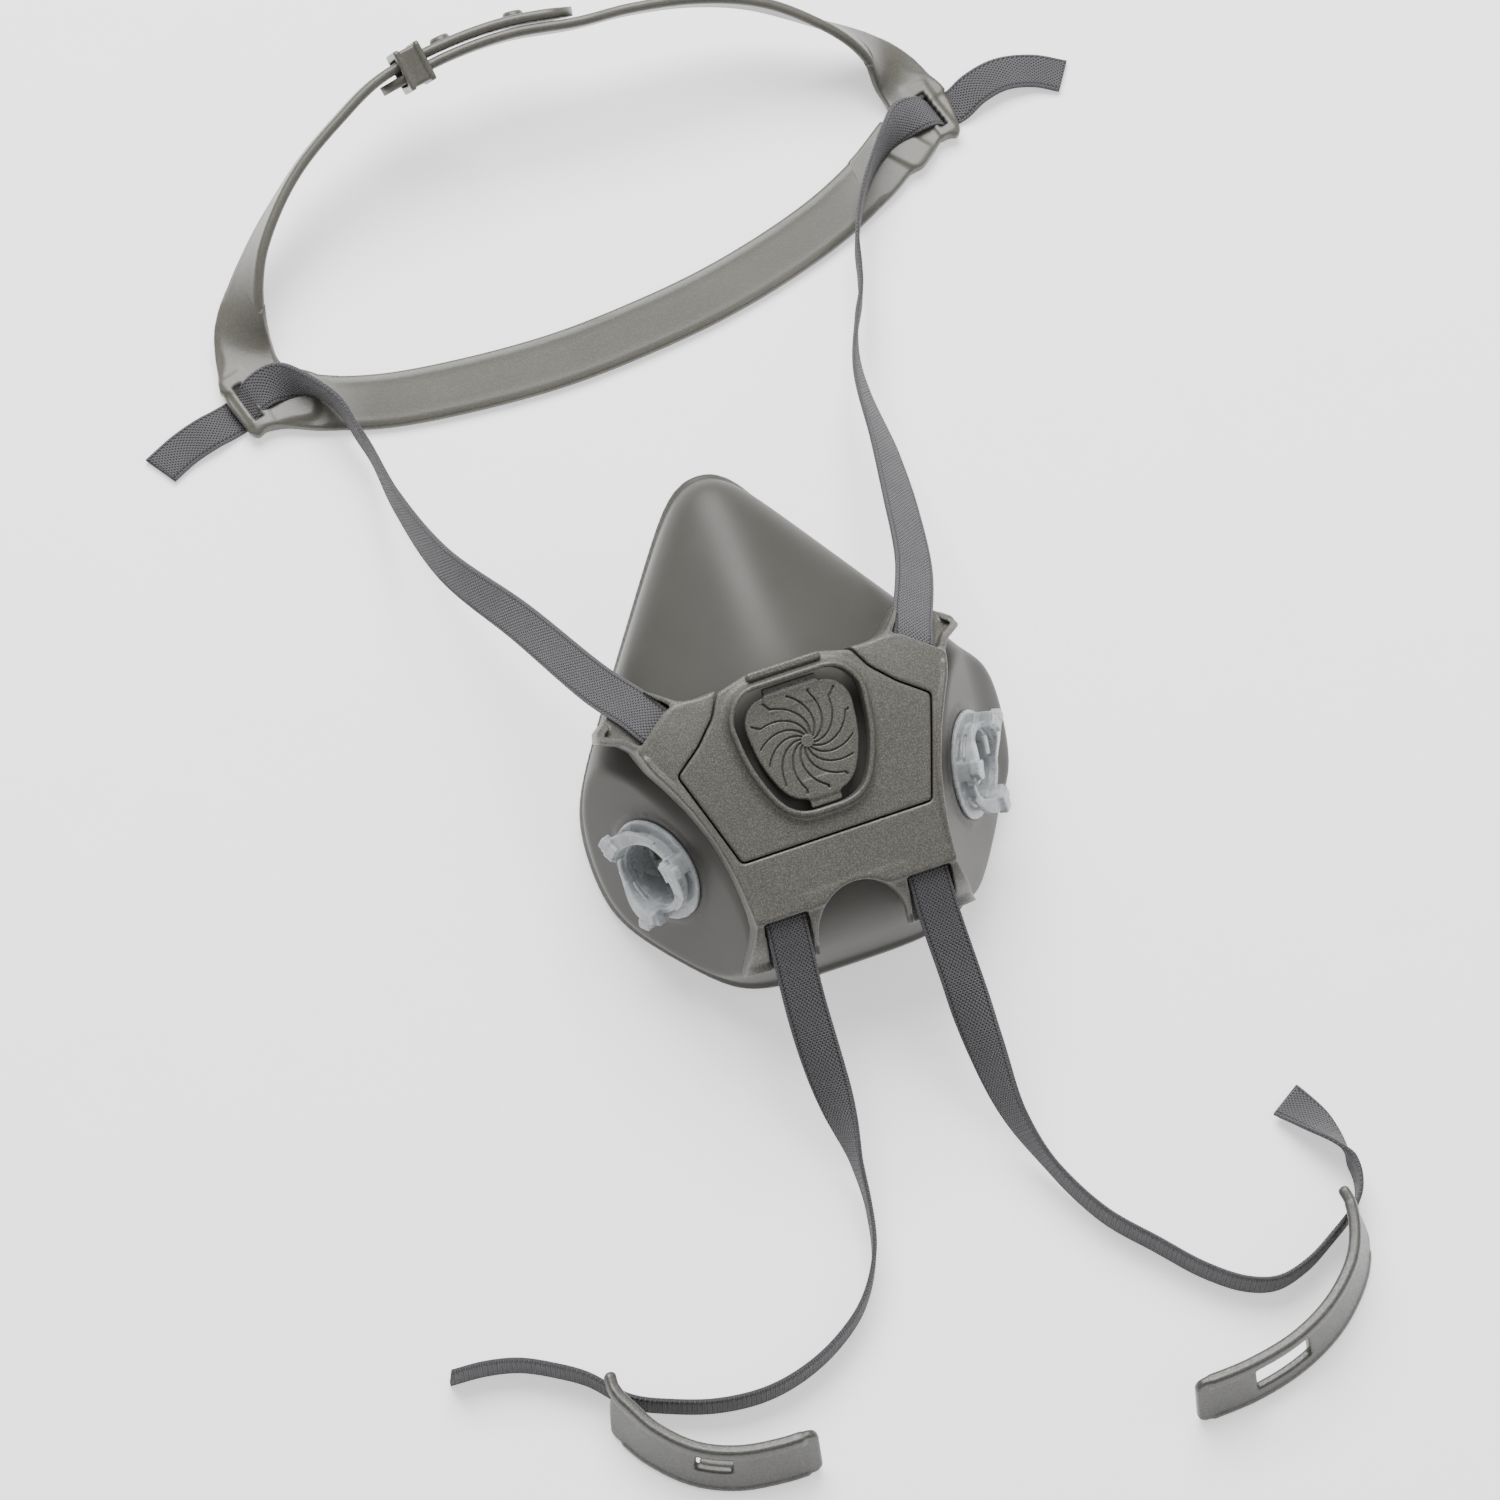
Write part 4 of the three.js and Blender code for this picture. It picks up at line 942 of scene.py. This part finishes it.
# ---- head cradle, floor frame ----
BAND_WIDTH, BAND_THICK, BAND_EDGE, BAND_STEP, LAYER_GAP = 14.5, 2.4, 0.9, 1.5, 0.8
TIP_RADIUS = 7.2


def lying(x, y, z=3.2, tilt=0.24):
    return (x, y, z), (0, 0.97, tilt)


BAND = [
    ((-86.6, 161.2, 3.2), (0.5, 0.86, 0.02)), ((-81.6, 158.8, 3.2), (0.5, 0.86, 0.05)),
    ((-72, 154.4, 3.2), (0.3, 0.94, 0.15)), lying(-58, 150),
    lying(-36, 147), lying(-12, 146), lying(10, 147.6), lying(30, 150.5),
    ((50, 155.5, 3.2), (-0.25, 0.94, 0.24)), ((68, 162, 3.2), (-0.4, 0.9, 0.2)),
    ((82, 169.5, 3.2), (-0.5, 0.85, 0.1)), ((93, 177.4, 3.2), (-0.6, 0.8, 0.05)),
]
ARCH = (0, -0.5, 0.866)
ARCH_UP = np.array([0, 0.866, 0.5])


def lift(share):
    """Height of the crown's middle line, from near the floor to its top."""
    return 4 + 26 * share


def in_layer(side, stop):
    """A stop of the outer (1) or inner (-1) of the two crown layers."""
    x, y, share = stop
    off = side * 0.5 * (BAND_THICK + LAYER_GAP) * ARCH_UP
    return (x, y + off[1], lift(share) + off[2]), ARCH


LAP = [(-33, 224.6, 0.88), (-15, 227.6, 0.96), (2, 228.2, 0.98), (20, 226, 0.96)]
CROWN_RIGHT = [
    ((-89, 166, 3.3), (0.98, -0.2, 0.02)), ((-87.8, 174.4, 4.6), (0.95, -0.25, 0.12)),
    ((-85.6, 182.4, 8), (0.75, -0.25, 0.5)), ((-77, 196, lift(0.4)), (0.3, -0.45, 0.84)),
    ((-61, 211, lift(0.64)), ARCH),
    ((-46, 220, lift(0.8)), ARCH),
] + [in_layer(1, stop) for stop in LAP]
CROWN_LEFT = [
    ((100.6, 186, 3.3), (-0.92, -0.36, 0.02)), ((97.8, 194.4, 5.0), (-0.8, -0.5, 0.12)),
    ((93, 201.6, 9.6), (-0.5, -0.5, 0.6)),
    ((82.5, 208.5, lift(0.5)), (-0.2, -0.5, 0.84)), ((67.5, 217.5, lift(0.7)), ARCH),
    ((51.5, 222, lift(0.84)), ARCH), ((34, 224, lift(0.92)), ARCH),
] + [in_layer(-1, stop) for stop in reversed(LAP)]


def band_profile(s, length, u, v):
    """A shallow raised border along both edges of the band, the same all along it."""
    return u, v * (1 + 0.1 * np.exp(-((np.abs(u) - 6.4) / 0.7) ** 2))


def cradle_strip(name, stops, node, tips=(0, 0)):
    strip, route = ribbon(name, stops, BAND_WIDTH, BAND_THICK, BAND_STEP, edge=BAND_EDGE, tips=tips,
                          shape=band_profile)
    place(strip, "cradle_plastic", "cradle", node)
    return route


cradle_strip("head_band", BAND, "rear_band")
outer_crown = cradle_strip("crown_right", CROWN_RIGHT, "crown_strap_right", (0, TIP_RADIUS))
cradle_strip("crown_left", CROWN_LEFT, "crown_strap_left", (0, TIP_RADIUS))


def strip_field(route, p):
    """The solid of a ribbon, a little proud of it, thinning over its last millimetres."""
    local = route.local(p)
    s, u, v = local[..., 0], local[..., 1], local[..., 2]
    proud = 0.2 * np.clip((route.length - s) / 5, 0, 1) - 0.04
    body = smax(np.abs(u) - BAND_WIDTH / 2 - proud, np.abs(v) - BAND_THICK / 2 - proud, 0.9)
    return np.maximum(body, np.maximum(-s - 0.5, s - route.length))


SLOT_TURN = 1.82
BAND_REACH, CROWN_REACH = 20, 26  # how much of each strip a corner moulding takes in


def joint_field(outline, slot_mid, band_stops, crown_stops):
    """The corner moulding where band and crown meet, with its toothed strap slot."""
    ends = Route(band_stops, 1.0, BAND_REACH), Route(crown_stops, 1.0, CROWN_REACH)
    line = rounded(outline, 2.6, 4)
    way = math.cos(SLOT_TURN), math.sin(SLOT_TURN)

    def field(p):
        edge = polygon(p, line)
        z = p[..., 2]
        plate = smax(edge, np.abs(z - 3.3) - 1.35, 1.0)
        a, b = along_across(p, slot_mid, way)
        frame_bar = smax(smax(np.abs(b) - 2.7, np.abs(a) - 8.4, 1.2), np.abs(z - 3.5) - 1.7, 0.8)
        near = np.abs(z - 5) < 8
        strips = np.full(p.shape[:-1], 9.0)
        if near.any():
            strips[near] = np.minimum(*(strip_field(end, p[near]) for end in ends))
        body = smin(smin(plate, frame_bar, 0.8), strips, 2.4)
        teeth = 0.42 * np.abs(((a / 1.9 + 0.5) % 1.0) - 0.5) * 2
        hole = np.maximum(np.abs(b) - 1.25 + teeth * (b < 0), np.abs(a) - 5.6)
        return smax(body, -hole, 0.35)
    return field


RIGHT_JOINT = [
    (-92.5, 172.5), (-96, 168), (-96.3, 162.6), (-93, 152), (-91.2, 150.6), (-89, 152.2), (-84, 153.2),
    (-76, 151.5), (-73, 164), (-78, 166.8), (-80.6, 170.4), (-81.6, 175.6), (-82, 181), (-92, 180),
]
LEFT_JOINT = [
    (100.3, 193.6), (104.4, 192.4), (107.8, 189), (108.8, 182), (108.2, 174.4), (106.6, 172.6),
    (103.6, 174.6), (100, 171.2), (94, 166.4), (86, 176.5), (91, 181.5), (93.4, 185.4), (93.6, 190),
    (91.5, 195.5), (97, 200.5),
]
place(moulded("cradle_corner_right",
              joint_field(RIGHT_JOINT, (-91.0, 160.6), BAND, CROWN_RIGHT),
              (-99, 147, 0.6), (-66, 192, 13), 0.5),
      "cradle_plastic", "cradle", "cradle_end_right")
place(moulded("cradle_corner_left",
              joint_field(LEFT_JOINT, (103.0, 182.0), BAND[::-1], CROWN_LEFT),
              (78, 160, 0.6), (111, 208, 14), 0.5),
      "cradle_plastic", "cradle", "cradle_end_left")


def on_arch(local_field, centre, turn):
    """A field drawn in a frame with x along the crown, y out of it, z up it."""
    z = np.array(ARCH) / np.linalg.norm(ARCH)
    x = np.cross(ARCH_UP, z)
    c, s = math.cos(turn), math.sin(turn)
    axes = np.stack([x * c + ARCH_UP * s, -x * s + ARCH_UP * c, z], -1)

    def field(p):
        return local_field((p - np.array(centre)) @ axes)
    return field


def keeper(p):
    """The sleeve round both crown layers, with two ribs round it."""
    high = 2 * BAND_THICK + LAYER_GAP + 1.6
    body = block(p, (0, 0, 0), (3.6, high / 2 + 1.4, BAND_WIDTH / 2 + 2), 0.9)
    inner = block(p, (0, 0, 0), (9, high / 2, BAND_WIDTH / 2 + 0.6), 0.5)
    rib = np.minimum(np.abs(p[..., 0] - 2.9), np.abs(p[..., 0] + 2.9))
    ribs = smax(block(p, (0, 0, 0), (4.2, high / 2 + 1.9, BAND_WIDTH / 2 + 2.4), 0.9), rib - 0.7, 0.4)
    return smax(smin(body, ribs, 0.4), -inner, 0.5)


place(moulded("crown_sleeve", on_arch(keeper, (-24, 226.4, lift(0.925)), 0.18),
              (-31, 217, 17), (-17, 236, 38), 0.35),
      "cradle_plastic", "cradle", "crown_keeper")


def peg_points():
    """The places of the studs and the directions they point in."""
    for share in (0.9, 0.76):
        i = int(share * (len(outer_crown.s) - 1))
        yield outer_crown.mid[i], outer_crown.flat[i] * (1 if outer_crown.flat[i][1] > 0 else -1)


def pegs(p):
    """Two low round studs on the outer layer of the crown, which set its size."""
    body = np.full(p.shape[:-1], 9.0)
    for mid, out in peg_points():
        off = p - mid
        high = off @ out
        r = np.sqrt(np.maximum((off * off).sum(-1) - high * high, 0))
        stud = smax(r - 3.1 + 0.25 * high, np.abs(high - 1.4) - 1.2, 0.9)
        body = np.minimum(body, smax(stud, -(np.hypot(r, high - 2.9) - 1.1), 0.5))
    return body


place(moulded("crown_studs", pegs, (-20, 222, 22), (22, 238, 38), 0.35),
      "cradle_plastic", "cradle")


# ---- neck buckle, floor frame ----
def leaning(x, y, in_x, in_y):
    """A stop of a buckle half, which stands on its edge and leans a little inward."""
    return (x, y, 8.1), (0.3 * in_x, 0.3 * in_y, 0.95)


HOOK = [
    leaning(-91.6, -113.4, 1, 0.1), leaning(-91.8, -119, 1, 0.1), leaning(-89.2, -125, 0.9, 0.3),
    leaning(-85.6, -131.4, 0.7, 0.6), leaning(-78, -139.2, 0.4, 0.9), leaning(-69, -143.6, 0.2, 1),
    leaning(-58.5, -145.4, 0, 1), leaning(-49.5, -145.6, 0, 1),
]
RECEIVER = [
    leaning(87.6, -129.6, -1, 0.1), leaning(88.2, -135, -1, 0.2), leaning(86.4, -142, -0.9, 0.4),
    leaning(82.6, -148.6, -0.8, 0.5), leaning(74, -156.4, -0.5, 0.8), leaning(63, -161.8, -0.3, 0.9),
    leaning(50, -164.6, -0.1, 1), leaning(35.4, -165.2, 0, 1),
]
PLATE_HALF = 8.0
WEDGE = 13.0            # how far the hook's wedge runs past its window


def buckle(stops, outward, window, catch):
    """A curved plate with a thick upper rail, a lower foot, a sunk strap seat and a window."""
    route = Route(stops, 0.8)

    def field(p):
        local = route.local(p)
        s, u, v = local[..., 0], local[..., 1], local[..., 2] * outward
        end = route.length
        outline = block(np.stack([s, u, 0 * s], -1), (end / 2 + 1.2, 0, 0),
                        (end / 2 - 1.4, PLATE_HALF - 0.1, FAR), 2.6)
        outline = smax(outline, 4.5 + 0.3 * (PLATE_HALF - u) - s, 1.5)
        plate = smax(outline, np.abs(v) - 1.05, 0.8)
        rail = smax(np.abs(u - 6.6) - 1.4, np.abs(v + 0.2) - 1.35, 1.0)
        rail = smax(rail, smax(0.3 - s, s - end + 3.4, 1.0), 1.4)
        body = smin(plate, rail, 0.7)
        foot = smax(smax(np.abs(u + 7.2) - 0.7, np.abs(v) - 1.3, 0.5), smax(13 - s, s - end + 3.6, 1), 0.8)
        body = smin(body, foot, 0.6)
        first, last = window
        point = np.stack([s, u, v], -1)
        middle, tall = (1.8, 2.4) if catch else (0.4, 3.8)
        gap = block(point, ((first + last) / 2, middle, 0), ((last - first) / 2, tall, 9), 0.7)
        slot = block(point, (15.6, -1.0, 5.0), (2.0, 5.2, 5.3), 0.7)
        recess = block(point, (13.4, -0.8, 2.4), (4.8, 5.8, 2.0), 0.8)
        body = smax(smax(smax(body, -gap, 0.5), -slot, 0.5), -recess, 0.4)
        if catch:
            # A wedge rises below the window and runs on past it, getting lower.
            ramp = np.clip((last + WEDGE - s) / WEDGE, 0, 1)
            across = np.abs(u + 4.4 + 0.8 * (1 - ramp)) - 3.4
            wedge = smax(across, np.abs(v - 1.5 * ramp) - 1.0 - 0.9 * ramp, 0.5)
            wedge = smax(wedge, smax(first + 0.6 - s, s - last - WEDGE + 0.7 * (u + PLATE_HALF), 0.4), 0.5)
            body = smin(body, wedge, 0.4)
        else:
            # A dimple and a short groove lie on the face past the window.
            dimple = np.hypot(s - last - 5.0, u - 3.2) - 0.9
            body = smax(body, -np.maximum(dimple, np.abs(v - 1.2) - 0.7), 0.3)
            groove = block(np.stack([s, u, v - 1.2], -1), (last + 5.4, -1.4, 0), (0.7, 2.6, 0.5), 0.4)
            body = smax(body, -groove, 0.3)
        return body
    return field


place(moulded("buckle_hook", buckle(HOOK, -1, (30.6, 39.4), True),
              (-96, -152, 0.2), (-45, -110, 18), 0.42),
      "buckle_plastic", "hook", "neck_buckle_hook")
place(moulded("buckle_receiver", buckle(RECEIVER, 1, (42.0, 57.0), False),
              (30, -172, 0.2), (94, -126, 18), 0.42),
      "buckle_plastic", "receiver", "neck_buckle_receiver")

# ---- floor, light and camera ----
FLOOR_HALF = 3.0


def lay_floor():
    """A wide pale sheet, which glows a little so that it stays near white."""
    corners = [(x * FLOOR_HALF, y * FLOOR_HALF, 0) for x, y in ((-1, -1), (1, -1), (1, 1), (-1, 1))]
    mesh = bpy.data.meshes.new("floor")
    mesh.from_pydata(corners, [], [(0, 1, 2, 3)])
    floor = bpy.data.objects.new("floor", mesh)
    bpy.context.scene.collection.objects.link(floor)
    paper = Look("floor_paper", 0.9, Specular_IOR_Level=0.1, Emission_Color=rgb(1, 1, 1),
                 Emission_Strength=0.75)
    fibre = paper.ramp(paper.noise(60, 4), 0.2, 0.8)
    paper.set("Base Color", paper.mix(fibre, rgb(0.87, 0.87, 0.87), rgb(0.89, 0.89, 0.89)))
    mesh.materials.append(paper.mat)


def light_world(strength):
    world = bpy.data.worlds.new("studio")
    world.use_nodes = True
    background = world.node_tree.nodes["Background"]
    background.inputs["Color"].default_value = rgb(1, 1, 1)
    background.inputs["Strength"].default_value = strength
    bpy.context.scene.world = world


valve = np.array(to_row((0, 0, VALVE_HEIGHT)))


def softbox(name, offset, size, power):
    """A square lamp at an offset in metres from the valve, aimed at it."""
    data = bpy.data.lights.new(name, "AREA")
    data.size = size
    data.energy = power
    light = bpy.data.objects.new(name, data)
    light.location = valve + np.array(offset)
    aim = -np.array(offset, float)
    light.rotation_euler = mathutils.Vector(aim).to_track_quat("-Z", "Y").to_euler()
    bpy.context.scene.collection.objects.link(light)


# The photo's long lens and viewing angle, and how far left and down of the valve it aims.
AZIMUTH, ELEVATION = math.radians(-20), math.radians(66)
DISTANCE, SENSOR, LENS = 1.1, 36.0, 113.52
AIM_LEFT, AIM_DOWN = 13.023 * MM, 2.093 * MM


def set_camera():
    right = np.array([math.cos(AZIMUTH), math.sin(AZIMUTH), 0])
    back = np.array([math.sin(AZIMUTH) * math.cos(ELEVATION), -math.cos(AZIMUTH) * math.cos(ELEVATION),
                     math.sin(ELEVATION)])
    up = np.cross(back, right)
    data = bpy.data.cameras.new("camera")
    data.sensor_width = SENSOR
    data.lens = LENS
    camera = bpy.data.objects.new("camera", data)
    matrix = np.eye(4)
    matrix[:3, 0], matrix[:3, 1], matrix[:3, 2] = right, up, back
    matrix[:3, 3] = valve + back * DISTANCE - right * AIM_LEFT - up * AIM_DOWN
    camera.matrix_world = mathutils.Matrix(matrix.tolist())
    bpy.context.scene.collection.objects.link(camera)
    bpy.context.scene.camera = camera


lay_floor()
light_world(0.42)
softbox("key", (0.1, 0.8, 1.2), 1.1, 50)
softbox("fill", (0.9, -0.4, 1.1), 1.2, 5)
set_camera()
